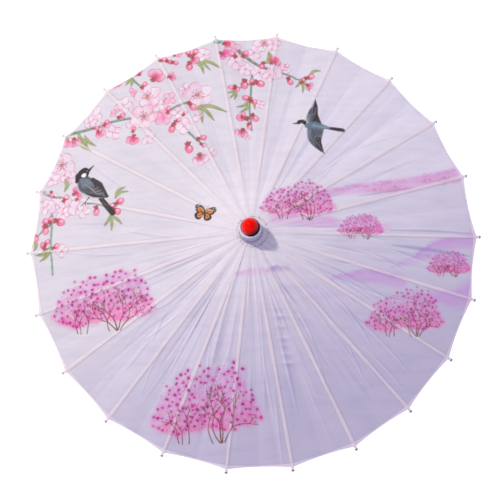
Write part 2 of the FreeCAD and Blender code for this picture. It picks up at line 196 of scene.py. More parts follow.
# ---------------------------------------------------------------- materials
def wood_material(name, pale, dark, rough, coat=0.0):
    """Wood or bamboo with upright fibres."""
    n = Nodes(name)
    place = n.place()
    fibre = n.noise(n.scaled(place, (260, 260, 9)), 1.0, 4.0, 0.6)
    patch = n.noise(place, 18.0, 2.0)
    tone = n.mix(n.spread(fibre, 0.3, 0.7), pale, dark)
    tone = n.mix(n.spread(patch, 0.35, 0.75, 0.0, 0.45), tone, dark)
    shader = n.principled(
        Base_Color=tone,
        Roughness=n.spread(fibre, 0.3, 0.7, rough, rough + 0.15),
        Normal=n.bump(fibre, 0.25, 0.0004),
        Coat_Weight=coat,
        Coat_Roughness=0.12,
    )
    return n.finish(shader)


def rib_material():
    """Bamboo, with the pale neck and the bead at a rib's outer end; the bead has painted light and
    shade, paler towards the key light and darker away from it.
    """
    n = Nodes("rib_bamboo")
    place = n.place()
    fibre = n.noise(n.scaled(place, (500, 500, 500)), 1.0, 4.0, 0.6)
    patch = n.noise(place, 25.0, 3.0)
    tone = n.mix(n.spread(fibre, 0.3, 0.7), srgb(228, 206, 162), srgb(196, 162, 112))
    tone = n.mix(n.spread(patch, 0.4, 0.7, 0.0, 0.4), tone, srgb(170, 128, 82))
    far = n.from_pole(place)
    tone = n.mix(n.spread(far, *NECK_R), tone, srgb(232, 222, 226))
    # painted light and shade: the bead is paler on the side towards the key light and darker on the
    # side away from it
    bead = n.mix(n.spread(n.aside(place, (0.70, -0.71, 0.0)), -0.30, 0.25), srgb(206, 196, 204),
                 srgb(136, 122, 138))
    tone = n.mix(n.spread(far, *BEAD_R), tone, bead)
    shader = n.principled(Base_Color=tone, Roughness=n.spread(fibre, 0.3, 0.7, 0.4, 0.58),
                          Normal=n.bump(fibre, 0.2, 0.0003))
    return n.finish(shader)


def finial_material():
    """Red lacquer with painted shade: a little darker towards its foot, mauve where its foot sits
    in the groove, and nearly black low on the side away from the key light.
    """
    n = Nodes("red_lacquer")
    place = n.place()
    height = n.above(place, FINIAL_LOW[2] + HEAD_RISE)
    patch = n.noise(place, 220.0, 3.0)
    tone = n.mix(n.spread(patch, 0.3, 0.7), srgb(255, 14, 0), srgb(238, 6, 0))
    # painted shade: how far the place lies towards the side away from the key light
    aside = n.spread(n.aside(place, (0.80, -0.60, 0.0)), 0.0, 0.80 * KNOB_R)
    foot = n.spread(height, 0.0185, 0.0095)
    # painted shade: the lacquer a little darker towards its foot
    tone = n.mix(n.math("MULTIPLY", foot, 0.20), tone, srgb(170, 0, 6))
    # painted shade: mauve in the last millimetre of the foot, where the knob sits in the groove
    tone = n.mix(n.spread(height, 0.0012, 0.0004), tone, srgb(126, 40, 70))
    # painted shade: nearly black low on the side away from the key light
    tone = n.mix(n.math("MULTIPLY", aside, foot), tone, srgb(84, 0, 4))
    scratch = n.noise(n.scaled(place, (2600, 300, 300)), 1.0, 2.0)
    shader = n.principled(Base_Color=tone, Roughness=n.spread(scratch, 0.35, 0.7, 0.16, 0.26),
                          Normal=n.bump(patch, 0.04, 0.0002), Specular_IOR_Level=0.05,
                          Coat_Weight=0.02, Coat_Roughness=0.08)
    return n.finish(shader)


def collar_material():
    """White cloth bound round the head of the pole, with painted shade: darker and blotchy towards
    its foot, darker on its wall just under the rim on the side away from the key light, and mauve
    to nearly black in the groove round the knob.
    """
    n = Nodes("white_cloth")
    place = n.place()
    height = n.above(place, COLLAR_LOW[2])
    weave = n.noise(place, 1400.0, 2.0)
    stain = n.noise(place, 150.0, 4.0)
    tone = n.mix(n.spread(stain, 0.35, 0.7), srgb(230, 225, 232), srgb(200, 190, 206))
    # painted shade: darker towards the foot, broken up by the stain noise
    foot_shade = n.math("MULTIPLY", n.spread(height, 0.029, 0.012), n.spread(stain, 0.1, 0.6, 0.4))
    tone = n.mix(foot_shade, tone, srgb(150, 138, 164))
    # painted shade on the wall just under the rim, on the side away from the key light
    aside = n.spread(n.aside(place, (0.56, -0.83, 0.0)), -0.004, 0.018, 0.0, 0.8)
    wall = n.math("MULTIPLY", aside, n.spread(height, 0.0332, 0.0290))
    tone = n.mix(wall, tone, srgb(156, 152, 180))
    # painted shade in the groove round the knob: mauve on the side towards the key light, nearly
    # black away from it
    groove = n.mix(n.spread(n.aside(place, (0.80, -0.60, 0.0)), -0.004, 0.006),
                   srgb(206, 130, 172), srgb(46, 14, 24))
    tone = n.mix(n.spread(n.from_pole(place), *GROOVE_R), tone, groove)
    shader = n.principled(Base_Color=tone, Roughness=0.8, Normal=n.bump(weave, 0.4, 0.0004),
                          Sheen_Weight=0.2, Sheen_Roughness=0.5)
    return n.finish(shader)


def cloth_material():
    n = Nodes("printed_cloth")
    colour = n.attribute("print").outputs["Color"]
    place = n.attribute("rest").outputs["Vector"]
    threads = n.noise(n.scaled(place, (70.0, 1500.0, 0.0)), 1.0, 2.0)
    weft = n.noise(n.scaled(place, (1500.0, 70.0, 0.0)), 1.0, 2.0)
    warp = n.math("MULTIPLY", n.math("ADD", threads, weft), 0.5)
    cloud = n.noise(place, 14.0, 3.0)
    mottle = n.noise(n.scaled(place, (16.0, 75.0, 0.0)), 1.0, 3.0)
    tone = n.mix(n.spread(cloud, 0.3, 0.7, 0.0, 0.10), colour, srgb(196, 184, 214), "MULTIPLY")
    tone = n.mix(n.spread(mottle, 0.45, 0.75, 0.0, 0.16), tone, srgb(196, 190, 220), "MULTIPLY")
    tone = n.mix(n.spread(warp, 0.35, 0.65, 0.0, 0.08), tone, srgb(150, 140, 170))
    front = n.principled(Base_Color=tone, Roughness=0.62, Normal=n.bump(warp, 0.25, 0.0003),
                         Sheen_Weight=0.05, Sheen_Roughness=0.5, Specular_IOR_Level=0.2)
    through = n.add("ShaderNodeBsdfTranslucent", {"Color": tone})
    both = n.add("ShaderNodeMixShader", {0: 0.14, 1: front.outputs[0], 2: through.outputs[0]})
    return n.finish(both)


def plain_material(name, colour, rough, metal=0.0, depth=0.1):
    n = Nodes(name)
    place = n.place()
    speck = n.noise(place, 1200.0, 3.0)
    patch = n.noise(place, 60.0, 3.0)
    darker = (*(0.6 * part for part in colour[:3]), 1.0)
    tone = n.mix(n.spread(patch, 0.3, 0.7, 0.0, 0.12), colour, darker)
    shader = n.principled(
        Base_Color=tone,
        Roughness=n.spread(patch, 0.3, 0.7, rough, rough + 0.1),
        Normal=n.bump(speck, depth, 0.0002),
        Metallic=metal,
    )
    return n.finish(shader)


BAMBOO = wood_material("bamboo", srgb(226, 204, 160), srgb(188, 152, 100), 0.45)
CLOTH = cloth_material()
RED = finial_material()
WHITE = collar_material()
RIB = rib_material()
THREAD = plain_material("binding_thread", srgb(198, 180, 198), 0.7, depth=0.5)
POLE_WOOD = wood_material("pole_wood", srgb(206, 170, 120), srgb(160, 118, 74), 0.45)
HUB_WOOD = wood_material("hub_wood", srgb(196, 158, 110), srgb(146, 104, 64), 0.5)
HANDLE_WOOD = wood_material("handle_wood", srgb(140, 78, 42), srgb(88, 42, 22), 0.3, coat=0.6)
BRASS = plain_material("brass", srgb(214, 178, 104), 0.28, metal=1.0)
STEEL = plain_material("steel", srgb(190, 190, 192), 0.3, metal=1.0)


def dress_frame():
    """Materials for the CAD nodes that stay in view."""
    looks = {
        "pole": POLE_WOOD, "handle": HANDLE_WOOD, "handle_cap": HANDLE_WOOD,
        "handle_ferrule": BRASS, "upper_hub": HUB_WOOD, "runner": HUB_WOOD,
        "hub_wire": STEEL, "runner_wire": STEEL, "catch_spring": STEEL, "catch_pin": STEEL,
    }
    looks.update({name: RIB for name in RIB_NODES})
    looks.update({name: BAMBOO for name in STRETCHER_NODES})
    for name, material in looks.items():
        node = frame["nodes"][name]
        node.data.materials.clear()
        node.data.materials.append(material)
        for slot in node.material_slots:
            slot.material = material


# ---------------------------------------------------------------- the print on the cloth
PAPER = (227, 219, 229)
PALE = (236, 228, 230)      # petals, and the colours of their rims and tips
BLUSH = (245, 180, 203)
RIM = (196, 74, 118)
ROSE = (204, 58, 98)
TINT = (238, 150, 190)
ROSY = (230, 100, 150)
SEPAL = (176, 92, 86)
TWIG = (116, 140, 122)
OLIVE = (160, 168, 110)
LEAF_EDGE = (98, 104, 62)
TRUNK = (116, 54, 42)
INK = (50, 42, 40)          # the birds' caps and their cheeks
CHEEK = (240, 238, 238)
# outline of a clump of trees: distances across it, its upper and its lower edge
CROWN = (-1.0, -0.8, -0.5, 0.0, 0.4, 0.7, 1.0)
ROOF = (-0.4, 0.2, 0.55, 0.78, 0.88, 0.6, -0.35)
FLOOR = (-0.5, -0.68, -0.8, -0.6, -0.74, -0.62, -0.42)


def smooth(value, low, high):
    share = np.clip((value - low) / (high - low), 0, 1)
    return share * share * (3 - 2 * share)


# The printed picture is kept as ink over the cloth seen in plan, in millimetres from the pole.
CELL = 0.6
REACH = 428.0
GRID = np.linspace(-REACH, REACH, int(2 * REACH / CELL) + 1)
GRID_X, GRID_Y = GRID[None, :], GRID[:, None]
SHEET = np.empty((len(GRID), len(GRID), 3))
PICK = random.Random(22)


def window(low, high):
    """The part of the sheet between two corners, and the places across and along it."""
    first = [int(max(0, (value + REACH) / CELL)) for value in low]
    last = [int(min(len(SHEET), (value + REACH) / CELL + 2)) for value in high]
    view = (slice(first[1], last[1]), slice(first[0], last[0]))
    return view, GRID_X[:, view[1]], GRID_Y[view[0], :]


def lay(view, cover, colour):
    """Ink of one colour over part of the sheet."""
    part = SHEET[view]
    part += cover[..., None] * (np.array(colour, float) - part)


def oval(x, y, long, wide, turn, fill, rim=None, shade=None, cover=1.0, wobble=0.05,
         tint=None):
    """A soft-edged oval; shade colours the end it is turned away from, rim its outline and
    tint the part just inside that."""
    reach = 1.35 * max(long, wide) + 1
    view, gx, gy = window((x - reach, y - reach), (x + reach, y + reach))
    cos, sin = math.cos(turn), math.sin(turn)
    along = ((gx - x) * cos + (gy - y) * sin) / long
    across = ((gy - y) * cos - (gx - x) * sin) / wide
    phase = PICK.uniform(0, 6)
    bearing = np.arctan2(across, along)
    q = np.hypot(along, across) * (1 + wobble * np.sin(3 * bearing + phase))
    inside = 1 - smooth(q, 1 - 0.7 / min(long, wide), 1.02)
    body = cover if tint is None else cover * PICK.uniform(0.4, 0.95)
    lay(view, inside * body, fill)
    if tint is not None:
        strength = PICK.uniform(0.0, 0.62) ** 1.4
        lean = PICK.uniform(-2.4, 2.4)
        outer = along * math.cos(lean) + across * math.sin(lean)
        lay(view, inside * cover * strength * smooth(outer, -0.4, 1.05), tint)
        veins = np.sin(9 * bearing + phase) ** 8 * smooth(along, -0.8, 0.6)
        lay(view, inside * 0.25 * veins, tint)
    if shade is not None:
        lay(view, inside * cover * 0.75 * (1 - smooth(along, -0.9, 0.5)), shade)
    if rim is not None:
        line = np.exp(-(((q - 0.94) * min(long, wide)) / 0.52) ** 2)
        lay(view, line * cover * (0.56 + 0.38 * np.sin(2 * bearing + phase)), rim)


def width_at(halves, share):
    return np.interp(share, np.linspace(0, 1, len(halves)), halves)


def walk(points, halves, distance):
    """Place, direction and half width of a path, at a distance that counts its points."""
    last = int(distance)
    run = points[last + 1] - points[last]
    half = width_at(halves, distance / (len(points) - 1))
    return points[last] + run * (distance - last), run, half


def stroke(path, halves, colour, cover=1.0, soft=0.35):
    """A line through the path's points, whose half width runs through `halves`."""
    points = np.array(path, float)
    padded = np.vstack([2 * points[0] - points[1], points, 2 * points[-1] - points[-2]])
    fine = []
    for a, b, c, d in zip(padded, padded[1:], padded[2:], padded[3:]):
        for t in np.arange(0, 1, 0.125):
            fine.append(0.5 * (2 * b + (c - a) * t + (2 * a - 5 * b + 4 * c - d) * t**2
                               + (3 * b - a - 3 * c + d) * t**3))
    fine.append(points[-1])
    fine = np.array(fine)
    half = width_at(halves, np.linspace(0, 1, len(fine)))
    pad = max(halves) + 1.5
    view, gx, gy = window(fine.min(0) - pad, fine.max(0) + pad)
    q = np.full((gy.shape[0], gx.shape[1]), 9.0)
    for a, b, ha, hb in zip(fine, fine[1:], half, half[1:]):
        run = b - a
        t = ((gx - a[0]) * run[0] + (gy - a[1]) * run[1]) / (run @ run + 1e-9)
        t = np.clip(t, 0, 1)
        gap = np.hypot(gx - a[0] - t * run[0], gy - a[1] - t * run[1])
        np.minimum(q, gap / (ha + (hb - ha) * t + 0.15), out=q)
    lay(view, (1 - smooth(q, 1 - soft, 1 + soft)) * cover, colour)


def leaf(x, y, to_x, to_y, half, bend=0.18):
    """A leaf from its stalk to its tip, with a paler rib."""
    half *= 0.60
    start, stop = np.array((x, y), float), np.array((to_x, to_y), float)
    side = np.array((-(stop - start)[1], (stop - start)[0])) * bend
    path = [start, (start + stop) / 2 + side, stop]
    widths = [0.3 * half, half, 0.85 * half, 0.1]
    stroke(path, [w + 0.6 for w in widths], LEAF_EDGE, 0.75)
    stroke(path, widths, OLIVE)
    stroke(path[1:], [0.3, 0.5 * half, 0.1], (122, 122, 70), 0.6)
    stroke(path, [0.35, 0.35, 0.1], (198, 204, 150), 0.7)


def twig(stops, half, colour=TWIG):
    """A line through the stops that bends a little on its way, with a knot at each."""
    points = [np.array(stops[0], float)]
    for stop in stops[1:]:
        run = np.array(stop, float) - points[-1]
        bend = PICK.uniform(-0.05, 0.05)
        points.append(points[-1] + run / 2 + bend * np.array((-run[1], run[0])))
        points.append(np.array(stop, float))
    stroke(points, [half + 0.5, 0.8 * half + 0.4, 0.7 * half + 0.4], (96, 112, 96), 0.6)
    stroke(points, [half, 0.8 * half, 0.6 * half], colour)
    middle = [(px, py + 0.3 * half) for px, py in points]
    stroke(middle, [0.35 * half, 0.25 * half], (176, 190, 170), 0.6)
    for px, py in points:
        oval(px, py, 1.1 * half, 0.8 * half, PICK.uniform(0, 3), (104, 110, 92),
             cover=0.6, wobble=0.2)


def petals(x, y, size, turn, fill=PALE, rim=RIM, count=5, fan=TURN, shade=None):
    """Petals over an angle `fan` round `turn`; the palest ones vary in whiteness."""
    pure = PICK.uniform(0.25, 0.85) if fill[1] > 195 else 0.0
    fill = tuple(a + pure * (b - a) for a, b in zip(fill, (244, 238, 240)))
    for k in range(count):
        angle = turn + fan * (k - (count - 1) / 2) / count + PICK.uniform(-0.12, 0.12)
        far = 0.60 * size
        grow = PICK.uniform(1.0, 1.2)
        oval(x + far * math.cos(angle), y + far * math.sin(angle), 0.47 * size * grow,
             0.41 * size * grow, angle, fill, rim, shade, 0.86,
             PICK.uniform(0.04, 0.10), TINT if fill[1] > 205 else ROSY)


def blossom(x, y, size, turn, fill=PALE, rim=RIM, shade=(238, 200, 214)):
    """An open flower from the front, with its stamens."""
    petals(x, y, size, turn, fill, rim, shade=shade)
    mist(x, y, 0.4 * size, 0.4 * size, (236, 190, 206), 0.35)
    for k in range(13):
        angle = turn + k * TURN / 13 + PICK.uniform(-0.15, 0.15)
        far = size * PICK.uniform(0.26, 0.46)
        tip = (x + far * math.cos(angle), y + far * math.sin(angle))
        stroke([(x, y), tip], [0.25, 0.15], (176, 104, 116), 0.8)
        oval(*tip, 1.15, 1.15, 0, (92, 40, 50), cover=0.95)
    oval(x, y, 0.12 * size, 0.11 * size, 0, (206, 146, 92), (150, 74, 54))


def cup(x, y, size, turn, fill=BLUSH, rim=ROSE, shade=ROSE):
    """A half-open flower from the side, its petals towards `turn`."""
    petals(x, y, size, turn, fill, rim, 3, 2.2, shade)
    sepal(x, y, 0.3 * size, turn)


def sepal(x, y, size, turn):
    """The three dark sepals at the foot of a flower or a bud."""
    for spread in (-0.7, 0.0, 0.7):
        far = 0.4 * size
        oval(x - far * math.cos(turn + spread), y - far * math.sin(turn + spread),
             0.8 * size, 0.5 * size, turn + spread, SEPAL, (134, 48, 54), cover=0.9)


def bud(x, y, size, turn):
    light = PICK.uniform(0.0, 0.6)
    fill = tuple(a + light * (b - a) for a, b in zip((238, 128, 158), (250, 180, 200)))
    oval(x, y, size, 0.82 * size, turn, fill, (190, 54, 88), (212, 76, 108))
    oval(x + 0.15 * size, y + 0.25 * size, 0.48 * size, 0.34 * size, turn,
         (252, 204, 218), cover=0.75)
    sepal(x - 0.9 * size * math.cos(turn), y - 0.9 * size * math.sin(turn), 0.68 * size,
          turn)


def mist(x, y, long, wide, colour, cover):
    """A dab of colour with no edge."""
    reach = 2.2 * max(long, wide)
    view, gx, gy = window((x - reach, y - reach), (x + reach, y + reach))
    lay(view, cover * np.exp(-(((gx - x) / long) ** 2 + ((gy - y) / wide) ** 2)), colour)


def boughs(x, y, heading, length, half, pick, forks, cover):
    """A trunk that forks as it rises."""
    bend = pick.uniform(-0.25, 0.25)
    path = [(x, y)]
    for part in (0.5, 1.0):
        heading += bend * part
        path.append((path[-1][0] + 0.5 * length * math.sin(heading),
                     path[-1][1] + 0.5 * length * math.cos(heading)))
    stroke(path, [half, 0.75 * half], TRUNK, 0.9 * cover)
    if forks:
        for turn in (pick.uniform(-0.7, -0.15), pick.uniform(0.15, 0.7)):
            if pick.random() < 0.85:
                boughs(*path[-1], 0.8 * heading + turn, length * pick.uniform(0.5, 0.85),
                       max(0.25, 0.70 * half), pick, forks - 1, cover)


def pom(x, y, size, cover, pick):
    """One head of blossom in a distant tree."""
    tone = pick.choice(((178, 22, 120), (200, 38, 134), (158, 22, 118)))
    for _ in range(5):
        angle = pick.uniform(0, 6.3)
        oval(x + 0.8 * size * math.cos(angle), y + 0.8 * size * math.sin(angle),
             0.62 * size, 0.62 * size, 0, tone, cover=0.6 * cover)
    oval(x, y, 0.85 * size, 0.8 * size, 0, tone, cover=0.9 * cover)


def grove(x, y, wide, high, cover=1.0):
    """The same clump of small trees in bloom wherever it is printed, only its size differs."""
    pick = random.Random(41)
    half, tall = wide / 2, high / 2
    scale = half / 98

    def inside(over=0.0):
        while True:
            u, v = pick.uniform(-1, 1), pick.uniform(-0.85, 1.05)
            roof, floor = np.interp(u, CROWN, ROOF) + over, np.interp(u, CROWN, FLOOR)
            if floor < v < roof:
                return x + u * half, y + v * tall, (v - floor) / (roof - floor)
    for _ in range(560):
        px, py, rise = inside(-0.04)
        tone = (246, 96, 158) if pick.random() > 1.3 * rise else (218, 124, 198)
        mist(px, py, scale * pick.uniform(4, 10), scale * pick.uniform(3, 8), tone,
             cover * pick.uniform(0.05, 0.16) * (1.2 - 0.85 * rise))
    for _ in range(int(wide * high / 7)):
        px, py, rise = inside()
        if pick.random() < 0.7 * rise:
            continue
        size = pick.uniform(0.6, 1.2)
        tone = pick.choice(((196, 40, 130), (244, 96, 156), (246, 130, 178), (222, 66, 142)))
        oval(px, py, size, size, 0, tone, cover=cover * pick.uniform(0.4, 0.9))
    trees = ((-0.50, -0.30, 0.34, 0.8, 4), (-0.44, 0.05, 0.30, 0.7, 3),
             (-0.32, 0.14, 0.38, 0.8, 4), (0.11, -0.45, 0.34, 0.8, 3),
             (0.24, -0.72, 0.40, 1.0, 5), (0.26, -0.12, 0.46, 1.3, 5),
             (0.28, 0.14, 0.50, 1.0, 5), (0.32, 0.46, 0.40, 1.0, 5))
    for share, lean, length, thick, forks in trees:
        boughs(x + share * half, y - pick.uniform(0.95, 1.0) * tall, lean,
               length * tall, max(0.35, 0.85 * thick * scale), pick,
               forks - (scale < 0.5), cover)
    placed = []
    for _ in range(340):
        px, py, rise = inside(0.14 if pick.random() < 0.3 else 0.0)
        gap = scale * pick.uniform(5.6, 9.6)
        if any(math.hypot(px - ox, py - oy) < gap for ox, oy in placed):
            continue
        placed.append((px, py))
        size = max(0.95, scale * pick.uniform(1.4, 2.9))
        mist(px, py, 1.9 * size, 1.7 * size, (214, 80, 166), 0.46 * cover)
        pom(px, py, size, cover * pick.uniform(0.75, 1.0), pick)


def wash(path, halves, colour, cover):
    """Ground painted with a wet brush: a broad soft stroke with ragged upper tufts."""
    stroke(path, halves, colour, cover, soft=0.6)
    points = np.array(path, float)
    for _ in range(int(np.linalg.norm(points[-1] - points[0]) / 3)):
        spot, _, half = walk(points, halves, PICK.uniform(0.03, 0.97) * (len(points) - 1))
        oval(spot[0], spot[1] + half * PICK.uniform(0.4, 0.95), PICK.uniform(3, 8),
             PICK.uniform(2, 4), PICK.uniform(-0.3, 0.4), colour, cover=cover * 0.5, wobble=0.3)


def plumage(path, halves, tones, count, seed):
    """Short feather strokes scattered over a bird's body, along the path."""
    pick = random.Random(seed)
    points = np.array(path, float)
    for _ in range(count):
        spot, run, half = walk(points, halves, pick.uniform(0, len(points) - 1.001))
        run = run / np.linalg.norm(run)
        start = spot + pick.uniform(-0.85, 0.85) * half * np.array((-run[1], run[0]))
        stop = start + pick.uniform(0.8, 2.2) * run
        stroke([start, stop], [0.5, 0.3], pick.choice(tones), pick.uniform(0.3, 0.75))


def perched_bird():
    """A small songbird on the left branch: dark cap, pale cheek, slate back, long tail."""
    stroke([(-279, 94), (-268, 78), (-255, 61)], [4.0, 5.0, 5.2], (58, 49, 46), soft=0.15)
    stroke([(-276, 90), (-262, 68)], [0.4, 0.4], (98, 90, 88), 0.8)
    body = [(-313, 134), (-308, 119), (-294, 107), (-276, 97)]
    stroke(body, [9.0, 16.0, 14.0, 5.0], (196, 190, 194), soft=0.12)
    body = [(-311, 134), (-305, 121), (-290, 110), (-270, 97)]
    stroke(body, [9.5, 16.0, 12.5, 3.0], (86, 88, 94), soft=0.12)
    stroke([(-313, 133), (-306, 125), (-296, 122)], [6.0, 9.0, 6.0], (112, 130, 142), 0.8,
           0.6)
    mist(-299, 112, 8, 6, (84, 66, 70), 0.7)
    wing = [(-294, 132), (-282, 118), (-264, 94)]
    stroke(wing, [3.5, 7.5, 1.2], (62, 53, 52), soft=0.2)
    stroke([(-306, 104), (-290, 98), (-266, 93)], [1.0, 3.0, 1.4], (66, 56, 54), soft=0.2)
    plumage(body, [7.0, 13.0, 10.0, 2.0], ((150, 164, 172), (58, 50, 50), (122, 112, 116)),
            150, 61)
    for shift in (-6, -1, 4):
        stroke([(-300 + shift, 116 - shift), (-288 + shift, 105 - shift),
                (-276 + shift, 108 - shift)], [0.4, 0.4], (176, 178, 182), 0.7)
    oval(-312, 146, 12.5, 10.0, 0.5, INK)
    stroke([(-322, 142), (-324, 130)], [5.0, 3.0], INK, soft=0.2)
    oval(-311, 142, 5.4, 4.4, 0.5, CHEEK)
    stroke([(-303, 149), (-297, 154), (-291, 159)], [3.0, 1.4, 0.4], (62, 50, 46))
    oval(-305, 150, 1.2, 1.2, 0, (206, 200, 200))
    stroke([(-300, 96), (-308, 86), (-316, 80)], [0.8, 0.6, 0.4], (82, 78, 76))
    stroke([(-307, 87), (-306, 80)], [0.6, 0.4], (82, 78, 76))


def flying_bird():
    """The same kind of bird on the wing, its back towards the outside."""
    dark, slate, pale = (58, 50, 50), (92, 96, 102), (134, 158, 168)
    stroke([(144, 209), (160, 206), (174, 203)], [2.4, 3.4, 3.8], dark, soft=0.2)
    upper = [(124, 216), (119, 236), (124, 251), (126, 267)]
    stroke(upper, [11.0, 9.0, 4.5, 0.5], slate, soft=0.12)
    stroke([(126, 214), (124, 236), (126, 252), (126, 266)], [8.0, 5.0, 3.4, 0.5], dark,
           soft=0.2)
    lower = [(123, 206), (121, 188), (125, 172), (136, 155)]
    stroke(lower, [15.0, 12.5, 6.5, 0.6], slate, soft=0.12)
    stroke([(126, 184), (128, 172), (136, 156)], [6.0, 5.4, 0.6], dark, soft=0.2)
    stroke([(108, 213), (124, 213), (148, 209)], [5.0, 8.0, 2.2], (104, 122, 134), soft=0.3)
    stroke([(120, 213), (148, 210)], [3.0, 1.4], pale, 0.8)
    stroke([(110, 222), (112, 234)], [2.6, 3.6], (118, 134, 142), 0.8)
    stroke([(111, 202), (112, 190)], [3.6, 4.4], (118, 134, 142), 0.8)
    tones = (pale, (52, 44, 44), (124, 112, 118))
    plumage(upper[:3], [9.0, 7.0, 3.5], tones, 60, 62)
    plumage(lower[:3], [13.0, 10.0, 5.0], tones, 90, 63)
    for shift in (0, 4, 8):
        stroke([(121 + shift / 2, 184 - shift), (131 + shift / 2, 166 - shift)],
               [0.4, 0.3], (120, 112, 114), 0.8)
        stroke([(120 + shift / 3, 228 + shift), (124 + shift / 3, 244 + shift)],
               [0.4, 0.3], (120, 112, 114), 0.8)
    oval(98, 219, 9.0, 6.6, 0.0, INK)
    oval(98, 214, 5.6, 2.8, -0.25, CHEEK)
    stroke([(90, 218), (81, 217)], [1.8, 0.4], (96, 70, 74))


def butterfly(x, y):
    """Orange wings with dark borders, the left pair raised."""
    dark, orange = (50, 40, 38), (222, 138, 70)
    wings = ((-7, 9, 11.5, 7.6, 2.15), (12, 3, 12.0, 7.2, 0.35), (-9.5, -2, 8.4, 7.6, -2.7),
             (6, -7, 8.0, 7.2, -0.9))
    for dx, dy, long, wide, turn in wings:
        oval(x + dx, y + dy, long, wide, turn, dark)
        oval(x + 0.80 * dx, y + 0.80 * dy, 0.70 * long, 0.70 * wide, turn, orange)
        stroke([(x + 0.3 * dx, y + 0.3 * dy), (x + 1.2 * dx, y + 1.1 * dy)], [0.5, 0.4],
               dark, 0.8)
    for dx, dy in ((-12, 15.5), (-9, 16.5), (-14, 12), (21, 7.5), (19, 4.5), (17, 8)):
        oval(x + dx, y + dy, 1.6, 1.2, 0, (238, 234, 234))
    stroke([(x + 1, y + 3), (x + 1, y - 8)], [1.7, 0.9], dark)
    for lean in (3, 9):
        stroke([(x + 1, y + 3), (x + lean, y + 15)], [0.3, 0.2], (96, 80, 80), 0.8)


def draw(picture):
    for kind, *rows in picture:
        for row in rows:
            kind(*row)


def paint():
    paint_paper()
    paint_ground()
    for branch in (LEFT_BRANCH, TOP_BRANCH, SIDE_BRANCH):
        draw(branch)
    paint_fold_light_and_shade()
    paint_hub()
    butterfly(-86, 41)
    perched_bird()
    flying_bird()


def paint_paper():
    """The bare sheet, with painted shade and light: greyer in front, on the side away from the key
    light, a little greyer behind on the left, on the side towards the key light, and whiter round
    the pole.
    """
    SHEET[:] = PAPER
    # painted shade: greyer in front, on the side away from the key light
    front = smooth(0.38 * GRID_X - 0.85 * GRID_Y, -60, 330)[..., None]
    SHEET[:] *= 1 - front * (1 - np.array((0.862, 0.848, 0.905)))
    # painted shade: a little greyer behind on the left, towards the key light, tempering it there
    rear = smooth(-0.84 * GRID_X + 0.54 * GRID_Y, -50, 250)[..., None]
    SHEET[:] *= 1 - rear * (1 - np.array((0.962, 0.962, 0.950)))
    # painted light: the sheet whiter round the pole
    hub = 0.42 * (1 - smooth(np.hypot(GRID_X, GRID_Y), 30, 170))[..., None]
    SHEET[:] += hub * (np.array((255, 246, 252)) - SHEET)


def paint_ground():
    lilac, pink = (206, 160, 214), (226, 176, 220)
    wash([(120, 72), (186, 84), (293, 98), (400, 126)], [5, 9, 13, 10], (222, 150, 208), 0.42)
    wash([(40, 24), (90, 22), (150, 20)], [9, 11, 9], pink, 0.60)
    wash([(165, 4), (205, 6), (245, 14)], [4, 6, 8], pink, 0.40)
    wash([(140, -82), (200, -76), (264, -86)], [3, 11, 12], lilac, 0.62)
    wash([(300, -34), (340, -18), (414, -4)], [3, 9, 13], lilac, 0.66)
    wash([(250, -60), (290, -46), (330, -36)], [2, 7, 5], lilac, 0.35)
    wash([(326, -112), (366, -116), (408, -104)], [9, 15, 24], lilac, 0.70)
    wash([(-34, -74), (0, -72), (60, -68)], [2, 7, 5], (228, 190, 224), 0.45)
    wash([(24, -70), (40, -66), (62, -68)], [2, 5, 2], (180, 160, 204), 0.40)
    wash([(50, -100), (120, -110), (190, -120)], [8, 14, 8], (212, 196, 224), 0.35)
    for x, y, wide, high, cover in (
            (85, 62, 138, 80, 1.0), (197, 16, 86, 52, 1.0), (358, -49, 84, 53, 1.0),
            (272, -140, 144, 91, 1.0), (-274, -99, 196, 118, 1.0), (-92, -291, 200, 146, 1.0),
            (250, 92, 96, 30, 0.15), (345, 112, 96, 30, 0.15)):
        grove(x, y, wide, high, cover)
    for _ in range(30):
        oval(PICK.uniform(-180, 200), PICK.uniform(-380, -60), 0.9, 0.8, 0,
             (190, 90, 170), cover=0.5)


